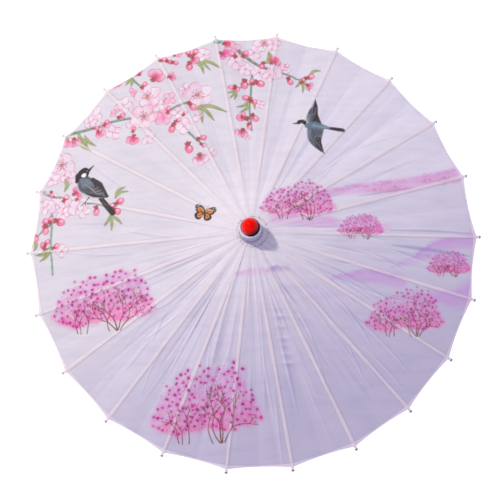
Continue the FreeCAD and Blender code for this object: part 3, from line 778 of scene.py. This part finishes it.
def paint_fold_light_and_shade():
    """Painted highlights and shade of the folds in the cloth, mostly in front: pale lines with
    shaded lines beside them, a few dark streaks, a row of small wrinkles and dim patches.
    """
    # painted highlights along fold lines, each with a line of painted shade beside it
    for _ in range(120):
        angle = PICK.uniform(-math.pi, math.pi)
        front = 0.5 - 0.5 * math.sin(angle - 0.4)
        if PICK.random() > 0.25 + 0.75 * front:
            continue
        first = PICK.uniform(60, 280)
        last = first + PICK.uniform(50, 150)
        drift = PICK.uniform(-0.10, 0.10)
        path = []
        for part in (0.0, 0.33, 0.67, 1.0):
            far = min(first + (last - first) * part, 406)
            turn = angle + drift * part + PICK.uniform(-0.004, 0.004)
            path.append((far * math.cos(turn), far * math.sin(turn)))
        wide = PICK.uniform(1.0, 2.4)
        shift = np.array((-math.sin(angle), math.cos(angle))) * (wide + 1.2)
        cover = PICK.uniform(0.15, 0.40) * (0.35 + 0.65 * front)
        stroke([point + shift for point in np.array(path)], [0.3, wide, 0.3],
               (158, 146, 184), cover, 0.9)
        stroke(path, [0.3, wide, 0.3], (240, 232, 244), cover, 0.9)

    # painted shadow along a few deep folds
    for path, half, cover in (
            ([(252, -19), (313, -25), (398, -36)], 3.0, 0.45),
            ([(250, 8), (330, 9), (400, 6)], 1.6, 0.40),
            ([(196, 72), (240, 80), (300, 92)], 1.4, 0.35)):
        stroke(path, [0.6, half, half, 0.5], (132, 136, 172), cover, 0.8)

    # painted shade and highlight of a row of small wrinkles
    for y, half, cover in ((-134, 8, 0.16), (-148, 11, 0.30), (-166, 9, 0.20), (-186, 11, 0.30),
                           (-199, 8, 0.22), (-214, 11, 0.20), (-229, 8, 0.34)):
        x = 44 - 0.15 * (y + 148)
        mist(x, y - 3, half, 3.2, (150, 142, 184), cover)
        mist(x + 2, y + 2, 0.9 * half, 2.4, (244, 236, 246), 1.3 * cover)
    # painted shade in a few dim patches in front
    for x, y, wide, high in ((62, -300, 9, 30), (54, -262, 7, 18), (168, -296, 20, 10)):
        mist(x, y, wide, high, (156, 152, 192), 0.18)


def paint_hub():
    """Stitches round the collar, and painted shade of small gathers in the cloth there."""
    for k in range(44):
        angle = TURN * (k + PICK.uniform(-0.2, 0.2)) / 44
        far = 27.5 + PICK.uniform(-1.0, 1.2)
        cos, sin = math.cos(angle), math.sin(angle)
        stroke([(far * cos + 1.3 * sin, far * sin - 1.3 * cos),
                (far * cos - 1.3 * sin, far * sin + 1.3 * cos)], [0.55, 0.4],
               (104, 84, 112), PICK.uniform(0.3, 0.9))
        # painted shade: faint radial lines where the cloth gathers round the collar
        out = PICK.uniform(34, 62)
        stroke([(24 * cos, 24 * sin), (out * cos, out * sin)], [0.6, 0.2],
               (170, 152, 178), 0.16)


def sample(points):
    """The ink under each point; the print sits a few millimetres off the pole's axis."""
    plan = points[:, :2] * 1000
    near = np.clip(1 - np.linalg.norm(plan, axis=1) / (HEM_R * 1000), 0, 1)[:, None]
    place = (plan - near * np.array(OFF_AXIS) + REACH) / CELL
    place = np.clip(place, 0, len(SHEET) - 2.001)
    cell = place.astype(int)
    part = place - cell
    x, y = cell[:, 0], cell[:, 1]
    u, v = part[:, :1], part[:, 1:]
    low = SHEET[y, x] * (1 - u) + SHEET[y, x + 1] * u
    high = SHEET[y + 1, x] * (1 - u) + SHEET[y + 1, x + 1] * u
    return low * (1 - v) + high * v


# the long branch that comes in from the left rim, and its flowers
LEFT_BRANCH = (
    (leaf, (-322, 229, -296, 188, 6.5, -0.15), (-310, 222, -288, 198, 4.0, -0.1),
     (-318, 220, -304, 196, 3.5, 0.1), (-98, 266, -40, 246, 5.0, 0.08),
     (-98, 266, -64, 230, 5.0, 0.08), (-98, 266, -86, 226, 5.0, 0.08)),
    (twig, ([(-346, 226), (-311, 233), (-282, 238), (-234, 248), (-196, 253)], 2.6),
     ([(-196, 253), (-158, 257), (-134, 266), (-112, 274)], 2.2),
     ([(-112, 208), (-98, 192), (-84, 180)], 1.7), ([(-222, 338), (-200, 314)], 1.9)),
    (leaf, (-226, 340, -232, 322, 3.5), (-226, 340, -222, 318, 3.5), (-226, 340, -240, 330, 3.5)),
    (petals, (-236, 278, 17, 1.2), (-222, 303, 11, 0.4, BLUSH, ROSE, 3, 3.0),
     (-296, 264, 19, 0.9, (240, 226, 236)), (-148, 284, 14, 1.6, BLUSH, RIM, 4),
     (-160, 246, 17, 0.2, BLUSH, ROSE, 5, TURN, (246, 150, 188)),
     (-255, 224, 15, -0.4, (246, 206, 222), RIM, 4), (-120, 222, 16, -0.9, (246, 206, 222), RIM, 4),
     (-100, 244, 14, -0.3, (248, 196, 216), RIM, 3, 3.2),
     (-190, 206, 15, -0.3, (246, 214, 226), RIM, 4, 4.6), (-172, 272, 15, 2.0, (246, 216, 228)),
     (-216, 234, 14, -0.9, (244, 222, 232), RIM, 4), (-132, 252, 13, 0.8, (247, 200, 218), RIM, 4),
     (-250, 262, 11, 2.4, BLUSH, ROSE, 3, 3.0), (-118, 302, 12, 2.2, (246, 214, 228), RIM, 4),
     (-272, 246, 12, -1.4, BLUSH, ROSE, 3, 2.6)),
    (blossom, (-190, 294, 25, 0.5), (-197, 250, 25, 1.1, (250, 214, 228), ROSE),
     (-95, 288, 27, 1.75), (-354, 168, 24, 0.9)),
    (cup, (-178, 330, 20, 0.9), (-148, 330, 12, 0.2), (-206, 344, 12, 2.2), (-345, 218, 15, -2.2),
     (-330, 216, 14, -1.2), (-284, 228, 13, -0.8), (-216, 210, 15, -1.7, (250, 150, 180)),
     (-92, 158, 18, -1.4, (250, 206, 222), RIM)),
    (petals, (-74, 162, 12, 0.3, (250, 200, 220), RIM, 3, 2.4)),
    (bud, (-112, 174, 9.5, -1.4), (-86, 194, 7.5, 0.2), (-144, 219, 8.0, -1.9),
     (-104, 262, 8.5, -0.9), (-84, 178, 5.0, -0.6), (-268, 246, 6.0, 0.9), (-320, 266, 6.0, 1.9),
     (-238, 256, 6.5, 0.4), (-150, 262, 6.5, 1.4), (-196, 320, 6.5, 0.9), (-288, 236, 5.5, -0.4),
     (-216, 226, 5.0, 1.3), (-131, 236, 5.5, 0.4), (-118, 250, 5.0, 0.8), (-392, 140, 6.5, 1.2),
     (-262, 318, 7.0, 0.1), (-246, 326, 8.0, 0.5)),
    (petals, (-300, 250, 13, -1.0, (240, 222, 232)), (-378, 196, 13, 1.9, (246, 216, 228)),
     (-340, 140, 15, -0.6, (244, 224, 234)), (-372, 140, 14, -2.0, (246, 228, 236))),
    (leaf, (-346, 138, -348, 112, 5.0)),
)

# the clusters along the top rim and the twigs that hang from them
TOP_BRANCH = (
    (leaf, (-98, 362, -49, 342, 4.5, 0.12), (-98, 362, -82, 334, 4.0, 0.12),
     (-98, 362, -70, 340, 3.0, 0.12), (38, 352, 42, 376, 6.0, -0.15),
     (36, 350, 52, 362, 4.0, -0.15), (-16, 380, -10, 358, 4.5)),
    (petals, (-4, 340, 15, 2.6, (246, 224, 234)), (24, 330, 17, -1.9, (248, 214, 228)),
     (44, 322, 15, -0.5, (248, 210, 226)), (66, 330, 15, 0.3, (246, 226, 236)),
     (72, 342, 9, 0.6, (250, 200, 218), ROSE, 3), (-20, 356, 17, -1.6, (246, 222, 232)),
     (14, 376, 15, 0.4, (246, 220, 232)), (-26, 388, 15, 0.9, BLUSH, ROSE, 4)),
    (blossom, (34, 396, 19, 0.5)),
    (petals, (52, 392, 15, 0.1, (248, 214, 226)), (-82, 376, 14, 0.6, (246, 214, 226)),
     (-128, 384, 9, 0.5, BLUSH, ROSE, 3)),
    (twig, ([(-14, 380), (5, 360), (28, 341), (36, 338)], 2.8, (134, 128, 112)),
     ([(68, 326), (97, 313), (120, 320)], 1.4),
     ([(9, 324), (6, 290), (2, 256), (4, 223), (5, 205)], 1.7), ([(4, 306), (-14, 298)], 1.3)),
    (leaf, (100, 312, 103, 284, 3.2, 0.1), (100, 312, 116, 286, 3.2, 0.1),
     (100, 312, 90, 296, 3.2, 0.1), (118, 322, 139, 331, 4.0), (-26, 294, -34, 276, 3.2),
     (-26, 294, -38, 288, 3.2), (-26, 294, -26, 272, 3.2), (2, 272, -22, 256, 3.6),
     (2, 272, -16, 244, 3.6), (2, 272, 12, 250, 3.6)),
    (cup, (48, 350, 15, 0.7, (246, 120, 150), (214, 50, 86)),
     (-42, 398, 12, 0.2, (240, 84, 100), (200, 40, 60)),
     (-48, 376, 14, -0.4, (246, 110, 170), (220, 50, 130)), (-104, 370, 13, -1.1),
     (113, 300, 10, -0.7), (-12, 206, 15, -1.9, (250, 190, 212), RIM)),
    (bud, (-158, 370, 7.0, 0.2), (-146, 364, 6.5, -0.4), (-136, 362, 6.0, -0.2),
     (-112, 384, 6.5, 1.9), (-98, 384, 7.5, 1.0), (-110, 351, 8.0, -1.6), (-28, 374, 7.5, 2.4),
     (-2, 375, 7.0, 0.9), (-134, 379, 4.5, 0.0), (80, 308, 7.0, -1.2), (106, 312, 6.0, 0.9),
     (120, 318, 7.5, 0.3), (-6, 304, 9.0, -1.6), (-20, 295, 6.5, -1.0), (-31, 299, 6.5, 3.0),
     (24, 305, 9.0, -0.5), (8, 312, 6.0, 1.9), (-4, 276, 7.5, 2.8), (12, 266, 6.5, -0.3),
     (-14, 233, 9.5, 3.0), (12, 230, 8.0, -1.0), (1, 213, 6.0, -1.4), (28, 344, 7.0, -2.0),
     (-10, 240, 5.5, 1.2)),
    (petals, (22, 260, 9, -0.4, (248, 222, 232), ROSE, 4),
     (-4, 194, 8, -1.5, (248, 222, 232), ROSE, 3, 3)),
    (oval, (-54, 404, 9, 6, 0.2, (84, 160, 124), (50, 112, 86))),
)

# the branch under the perched bird, with its hanging end
SIDE_BRANCH = (
    (leaf, (-250, 90, -232, 110, 4.5), (-250, 90, -226, 100, 3.0), (-260, 56, -272, 38, 3.4, 0.08),
     (-260, 56, -258, 28, 3.4, 0.08), (-260, 56, -238, 38, 3.4, 0.08), (-404, 122, -408, 136, 4.5),
     (-404, 24, -416, 8, 4.0), (-404, 24, -406, 2, 4.0), (-404, 24, -410, 20, 4.0),
     (-376, 6, -402, -6, 4.4), (-376, 6, -394, -18, 4.4), (-376, 6, -386, -10, 4.4)),
    (petals, (-364, 90, 18, 0.4, (248, 222, 234)), (-388, 86, 14, 2.4, (244, 226, 234)),
     (-338, 82, 19, -0.8, (246, 216, 230)), (-312, 72, 14, -0.4, (244, 232, 236)),
     (-350, 70, 13, -1.6, (248, 224, 234))),
    (twig, ([(-402, 122), (-386, 114), (-368, 104), (-342, 98)], 2.6, (140, 138, 120)),
     ([(-372, 70), (-372, 45), (-373, 16), (-371, -18), (-370, -44)], 1.8, (130, 170, 142)),
     ([(-376, 50), (-392, 38), (-404, 28)], 1.4), ([(-302, 84), (-280, 80), (-262, 72)], 1.3)),
    (cup, (-328, 106, 13, 0.6, (246, 112, 158))),
    (bud, (-344, 100, 6.5, 0.9), (-286, 66, 7.5, -1.5), (-256, 74, 6.5, 0.9), (-241, 82, 8.0, 0.6),
     (-247, 63, 8.0, -0.6), (-372, 108, 5.5, -1.4), (-384, 58, 7.5, 1.7), (-355, 54, 9.0, -0.4),
     (-384, 40, 8.0, -1.4), (-374, 62, 6.0, 1.4), (-413, 33, 6.5, 2.8), (-402, 26, 6.5, -1.2),
     (-388, 12, 7.0, 2.0), (-380, 18, 6.0, 1.0), (-362, 8, 6.5, 0.5), (-318, 96, 5.5, 0.3)),
    (petals, (-352, -2, 12, -0.7, (248, 224, 232), ROSE, 4)),
)

paint()


def tinted(ink, colour, cover):
    return ink + cover[:, None] * (np.array(colour) - ink)


def canopy_colours(points):
    """The print, paler where the cloth is glued to a rib and along its hem, with a thin line of
    painted shade beside each rib's band (in millimetres).
    """
    radius = np.hypot(points[:, 0], points[:, 1])
    angle = np.arctan2(points[:, 1], points[:, 0])
    turn = (angle / STEP - np.round(angle / STEP)) * STEP  # from the nearest rib
    across = radius * np.sin(np.abs(turn)) * 1000
    hem = (hem_radius(np.abs(turn) / HALF) - radius) * 1000
    ink = sample(points)
    wide = 2.5 + 0.25 * np.sin(40 * radius + 5 * np.round(angle / STEP))
    band = (1 - smooth(across, wide - 0.3, wide + 0.5)) * (0.4 + 0.6 * smooth(radius, 0.03, 0.14))
    band *= 0.12 + 0.62 * smooth(ink[:, 1], 60, 205)
    # painted shade: a thin darker line on each side of a rib's band, where the cloth drops beside
    # the rib
    band_edge_shade = np.exp(-(((across - 3.3) / 0.7) ** 2))
    bound_hem = 1 - smooth(hem, 5.5, 7.5)
    seam = np.exp(-(((hem - 7.8) / 0.7) ** 2))
    ink = tinted(ink, (255, 238, 242), band)
    ink = tinted(ink, (150, 130, 160), 0.10 * band_edge_shade)
    ink = tinted(ink, (252, 232, 238), 0.55 * bound_hem)
    ink = tinted(ink, (160, 130, 160), 0.14 * seam)
    return np.hstack([linear(ink), np.ones((len(points), 1))])


# ---------------------------------------------------------------- canopy
def ridge(radius, index):
    """The cloth over rib number `index` at a distance from the pole's axis."""
    lift = CLOTH_LIFT / math.cos(SLOPE)
    return spoke(index * STEP, radius, HINGE_Z + lift - (radius - HINGE_R) * math.tan(SLOPE))


def band_half(radius):
    """Half width of a rib's band: its share of the pitch between ribs when folded."""
    along = (radius - HINGE_R - CLOTH_LIFT * math.sin(SLOPE)) / math.cos(SLOPE)
    folded = HINGE_R + CLOTH_LIFT + along * math.cos(SLOPE + TRAVEL)
    return BAND_SHARE * folded * math.tan(HALF)


def hem_radius(share):
    """The hem's distance, where share is 0 at a rib and 1 half way to the next."""
    return HEM_R - SCALLOP * (1 - (1 - share) ** 2)


def sag(radius, share):
    """How far the cloth hangs below the straight line from rib to rib, with a crease half way."""
    reach = (radius - EYE_R) / (HEM_R - EYE_R)
    depth = SAG * np.clip(reach, 0, 1) ** 0.7
    return depth * (0.5 * share + 0.5 * share**2)


def creases(index, side, radius, share):
    """Soft ridges and hollows that folding has left in one gore, fading out at its ribs."""
    gore = (index if side > 0 else index - 1) % COUNT
    place = share / 2 if side > 0 else 1 - share / 2
    reach = (radius - EYE_R) / (HEM_R - EYE_R)
    pick = random.Random(500 + gore)
    heading = (gore + 0.5) * STEP
    strength = 0.95 - 0.65 * math.sin(heading - 0.3)
    total = np.zeros(len(radius))
    for _ in range(6):
        centre = pick.uniform(0.2, 0.8) + pick.uniform(-0.35, 0.35) * (reach - 0.5)
        width = pick.uniform(0.025, 0.075)
        first = pick.uniform(-0.1, 0.6)
        last = first + pick.uniform(0.25, 0.7)
        span = smooth(reach, first, first + 0.15) * (1 - smooth(reach, last - 0.15, last))
        height = pick.choice((-1, 1)) * pick.uniform(0.0006, 0.0016)
        total += height * span * np.exp(-np.abs((place - centre) / width) ** 1.4)
    return strength * total * smooth(place, 0.05, 0.2) * smooth(1 - place, 0.05, 0.2)


def ripple(x, y):
    """Slight unevenness of the stretched cloth, the same for every panel that shares a point."""
    radius = np.hypot(x, y)
    angle = np.arctan2(y, x)
    fade = np.clip((radius - EYE_R) / 0.15, 0, 1)
    waves = 0.00028 * np.sin(31 * angle + 23 * radius)
    waves += 0.00022 * np.sin(57 * angle - 17 * radius + 1.3)
    waves += 0.00020 * np.sin(9 * angle + 61 * radius + 0.7)
    return waves * fade


def cloth_points(index, side, radius, share):
    """Points of half a gore: share is 0 at rib number `index` and 1 half way to the next."""
    here, there = ridge(1.0, index), ridge(1.0, index + side)
    zero_here, zero_there = ridge(0.0, index), ridge(0.0, index + side)
    middle, zero_middle = (here + there) / 2, (zero_here + zero_there) / 2
    start = zero_here + radius[:, None] * (here - zero_here)
    stop = zero_middle + radius[:, None] * (middle - zero_middle)
    points = start + share[:, None] * (stop - start)
    across = share * radius * math.sin(HALF) * math.cos(HALF)
    beside = BESIDE * smooth(across, 0.0024, 0.0045) * smooth(radius, 0.03, 0.13)
    points[:, 2] -= sag(radius, share) + beside
    loose = smooth(across, 0.0026, 0.014)
    points[:, 2] += loose * ripple(points[:, 0], points[:, 1])
    points[:, 2] += creases(index, side, radius, share)
    rim = hem_radius(share) - radius
    points[:, 2] -= HEM_DROP * (1 - smooth(rim, 0.0, 0.0022)) * smooth(across, 0.0026, 0.006)
    return points


def band_share(radius):
    return band_half(radius) / (radius * math.sin(HALF) * math.cos(HALF))


def rows_of(spacing):
    """A panel's rows of (radius, share) points from the eye to the hem, about `spacing` apart."""
    count = int((HEM_R - EYE_R) / spacing)
    rows = []
    for step in range(count + 1):
        reach = step / count
        middle = EYE_R + reach * (HEM_R - EYE_R)
        low = band_share(middle)
        width = (1.0 - low) * middle * math.sin(HALF)
        share = np.linspace(low, 1.0, max(2, int(round(width / spacing)) + 1))
        radius = EYE_R + reach * (hem_radius(share) - EYE_R)
        rows.append((radius, share))
    return rows


def stitch(sizes):
    """Triangles between rows with different numbers of points."""
    triangles, start = [], 0
    for here, there in zip(sizes, sizes[1:]):
        a, b = 0, 0
        while a < here - 1 or b < there - 1:
            next_a = (a + 1) / (here - 1) if a < here - 1 else 2.0
            next_b = (b + 1) / (there - 1) if b < there - 1 else 2.0
            if next_a < next_b:
                triangles.append((start + a, start + here + b, start + a + 1))
                a += 1
            else:
                triangles.append((start + a, start + here + b, start + here + b + 1))
                b += 1
        start += here
    return triangles


def mesh_piece(name, points, faces, material):
    mesh = bpy.data.meshes.new(name)
    mesh.from_pydata([tuple(p) for p in points], [], [tuple(f) for f in faces])
    mesh.materials.append(material)
    mesh.polygons.foreach_set("use_smooth", [True] * len(mesh.polygons))
    piece = bpy.data.objects.new(name, mesh)
    bpy.context.collection.objects.link(piece)
    return piece


def add_attributes(mesh, points, colours):
    rest = mesh.attributes.new("rest", "FLOAT_VECTOR", "POINT")
    rest.data.foreach_set("vector", np.asarray(points, np.float32).ravel())
    shown = mesh.attributes.new("print", "FLOAT_COLOR", "POINT")
    shown.data.foreach_set("color", np.asarray(colours, np.float32).ravel())


PANEL_ROWS = rows_of(GRAIN)
PANEL_RADIUS = np.concatenate([row[0] for row in PANEL_ROWS])
PANEL_SHARE = np.concatenate([row[1] for row in PANEL_ROWS])
PANEL_FACES = stitch([len(row[0]) for row in PANEL_ROWS])


def cloth_piece(name, index, points, faces):
    piece = mesh_piece(name, points, faces, CLOTH)
    add_attributes(piece.data, points, canopy_colours(points))
    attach(piece, RIB_NODES[index])
    return piece


def make_panel(index, side):
    """The cloth from a band's edge to the crease, carried by the band's rib."""
    name = "canopy_panel_%02d%s" % (index + 1, "a" if side > 0 else "b")
    points = cloth_points(index, side, PANEL_RADIUS, PANEL_SHARE)
    faces = PANEL_FACES if side < 0 else [face[::-1] for face in PANEL_FACES]
    piece = cloth_piece(name, index, points, faces)
    ends = [0, -len(PANEL_ROWS[-1][0])]
    flat = cloth_points(index, side, PANEL_RADIUS[ends], PANEL_SHARE[ends])
    edge = flat[1] - flat[0]
    edge /= np.linalg.norm(edge)
    inward = ridge(0.3, index + side) - ridge(0.3, index)
    inward -= edge * (inward @ edge)
    inward /= np.linalg.norm(inward)
    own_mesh(piece)


def make_band(index):
    """The strip of cloth glued along a rib."""
    name = "canopy_band_%02d" % (index + 1)
    count = int((HEM_R - EYE_R) / BAND_STEP)
    columns = np.linspace(-1, 1, BAND_COLUMNS)
    radius, share = [], []
    for step in range(count + 1):
        reach = step / count
        middle = EYE_R + reach * (HEM_R - EYE_R)
        row = columns * band_share(middle)
        radius.append(EYE_R + reach * (hem_radius(np.abs(row)) - EYE_R))
        share.append(row)
    radius, share = np.concatenate(radius), np.concatenate(share)
    left = cloth_points(index, -1, radius, -np.minimum(share, 0))
    right = cloth_points(index, 1, radius, np.maximum(share, 0))
    points = np.where(share[:, None] < 0, left, right)
    faces, wide = [], BAND_COLUMNS
    for row in range(count):
        for first in range(row * wide, row * wide + wide - 1):
            faces.append((first, first + wide, first + wide + 1, first + 1))
    piece = cloth_piece(name, index, points, faces)
    return piece


def make_canopy():
    for index in range(COUNT):
        band = make_band(index)
        if index == 0:
            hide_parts("canopy")
        for side in (-1, 1):
            make_panel(index, side)


# ---------------------------------------------------------------- head of the pole
def rings(rows, count, closed=False):
    """Faces between neighbouring rings of `count` points each."""
    faces = []
    for row in range(rows if closed else rows - 1):
        up = (row + 1) % rows * count
        for k in range(count):
            following = (k + 1) % count
            faces.append((row * count + k, row * count + following, up + following, up + k))
    return faces


def lathe(name, profile, count, material, shape=None, closed=False):
    """A turned piece: profile points (radius, height) swept round the pole, bent by `shape`."""
    points = []
    for radius, height in profile:
        for k in range(count):
            angle = TURN * k / count
            grow = shape(angle, radius, height) if shape else 0.0
            points.append(spoke(angle, radius + grow, height))
    faces = rings(len(profile), count, closed)
    if not closed:
        faces.append(range(count)[::-1])
        faces.append(range(len(points) - count, len(points)))
    return mesh_piece(name, points, faces, material)


def make_finial():
    """The lacquered knob: a neck in the cap's mouth, a bead at its foot and a domed top."""
    low, high, wide = float(FINIAL_LOW[2]) + HEAD_RISE, float(FINIAL_HIGH[2]), KNOB_R
    profile = [(0.90 * wide, low - drop) for drop in (0.0078, 0.0030, 0.0006)]
    profile += [(0.915 * wide, low), (0.93 * wide, low + 0.0006), (0.985 * wide, low + 0.0010)]
    for angle in np.radians(np.linspace(2, 88, 27)):
        profile.append((wide * math.cos(angle) ** 0.97, low + 0.0013 +
                        (high - low - 0.0013) * math.sin(angle)))
    profile = [(max(radius, 0.0004), height) for radius, height in profile]
    finial = lathe("finial_knob", profile, 96, RED)
    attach(finial, "pole_assembly")
    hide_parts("finial")


def make_collar():
    """The cloth cap under the knob: gathered into pleats and bound with thread at its foot."""
    low, high = float(COLLAR_LOW[2]), float(COLLAR_HIGH[2])
    pick = random.Random(3)
    waves = [(pick.randint(17, 47), pick.uniform(0, 6), pick.uniform(0.4, 1.0)) for _ in range(6)]

    def pleats(angle, radius, height):
        share = (high - height) / (high - low)
        depth = 0.00010 + 0.00042 * share**1.5
        total = sum(size * math.sin(turns * angle + phase) for turns, phase, size in waves)
        pinch = 0.00045 * math.exp(-(((height - low - 0.0052) / 0.0014) ** 2))
        return depth * total / 2 - pinch
    outline = ((0.0126, 0.0010), (0.0160, 0.0012), (0.0165, 0.0016), (0.0170, 0.0026),
               (0.0176, 0.0030), (0.0184, 0.0026), (0.0190, 0.0012),
               (0.0195, -0.0025), (0.0195, -0.0060), (0.0197, -0.0088), (0.0199, -0.0106),
               (0.0198, -0.0150), (0.0198, -0.0200), (0.0200, -0.0240), (0.0203, -0.0260),
               (0.0211, -0.0280), (0.0218, -0.0304), (0.0216, -0.0310), (0.0190, -0.0310))
    profile = []
    for (r0, z0), (r1, z1) in zip(outline, outline[1:]):
        for step in range(4):
            part = step / 4
            profile.append((r0 + (r1 - r0) * part, high + z0 + (z1 - z0) * part))
    profile.append((outline[-1][0], high + outline[-1][1]))
    collar = lathe("collar_cloth", profile, 264, WHITE, pleats)
    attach(collar, "pole_assembly")
    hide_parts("collar")
    for turn in range(3):
        height = low + 0.0040 + 2 * THREAD_R * turn
        ring = [(BINDING_R + THREAD_R * math.cos(a), height + THREAD_R * math.sin(a))
                for a in (TURN * k / 8 for k in range(8))]
        thread = lathe("binding_%d" % (turn + 1), ring, 132, THREAD,
                       lambda angle, radius, height: 0.00012 * math.sin(66 * angle), True)
        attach(thread, "pole_assembly")


# ---------------------------------------------------------------- scene
def make_floor():
    """A white sweep: the floor, curving up into a low wall all round."""
    n = Nodes("sweep")
    place = n.place()
    paper = n.noise(place, 3.0, 3.0)
    white = n.principled(Base_Color=n.mix(paper, srgb(188, 188, 190), srgb(192, 192, 192)),
                         Roughness=0.9)
    white.inputs["Emission Color"].default_value = (1, 1, 1, 1)
    white.inputs["Emission Strength"].default_value = 0.84
    flat_r, curve_r, sides, steps = 5.0, 2.5, 96, 12
    profile = [(0.02, 0.0), (2.0, 0.0), (flat_r, 0.0)]
    for step in range(1, steps + 1):
        angle = math.radians(78 * step / steps)
        profile.append((flat_r + curve_r * math.sin(angle), curve_r - curve_r * math.cos(angle)))
    points = [spoke(TURN * k / sides, *row) for row in profile for k in range(sides)]
    faces = rings(len(profile), sides) + [range(sides)]
    mesh_piece("sweep", points, faces, n.finish(white))


def make_lamp(name, toward, distance, size, power, colour):
    lamp = bpy.data.lights.new(name, "AREA")
    lamp.shape = "DISK"
    lamp.size = size
    lamp.energy = power
    lamp.color = colour
    holder = bpy.data.objects.new(name, lamp)
    aim = Vector((0, 0, HINGE_Z))
    holder.location = aim + Vector(toward).normalized() * distance
    holder.rotation_euler = (aim - holder.location).to_track_quat("-Z", "Y").to_euler()
    bpy.context.collection.objects.link(holder)


def make_light():
    make_lamp("key", toward=(-0.84, 0.54, 1.44), distance=4.0, size=0.24, power=110,
              colour=(1.0, 0.975, 0.78))
    world = bpy.data.worlds.new("world")
    world.use_nodes = True
    sky = world.node_tree.nodes["Background"]
    sky.inputs["Color"].default_value = (0.66, 0.70, 1.0, 1.0)
    sky.inputs["Strength"].default_value = 0.60
    bpy.context.scene.world = world
    bpy.context.scene.view_settings.view_transform = "Standard"


def make_camera():
    data = bpy.data.cameras.new("camera")
    data.sensor_width = 36
    data.lens = 98.2
    camera = bpy.data.objects.new("camera", data)
    elevation, azimuth = math.radians(76.5), math.radians(6.0)
    roll, distance = math.radians(7.9), 2.52
    aim = Vector((-0.00496, -0.00875, 0.443))
    back = Vector((math.cos(elevation) * math.sin(azimuth),
                   -math.cos(elevation) * math.cos(azimuth), math.sin(elevation)))
    camera.location = aim + back * distance
    look = (-back).to_track_quat("-Z", "Y").to_matrix()
    camera.rotation_euler = (look @ Matrix.Rotation(-roll, 3, "Z")).to_euler()
    bpy.context.collection.objects.link(camera)
    bpy.context.scene.camera = camera


dress_frame()
make_canopy()
make_collar()
make_finial()
make_floor()
make_light()
make_camera()
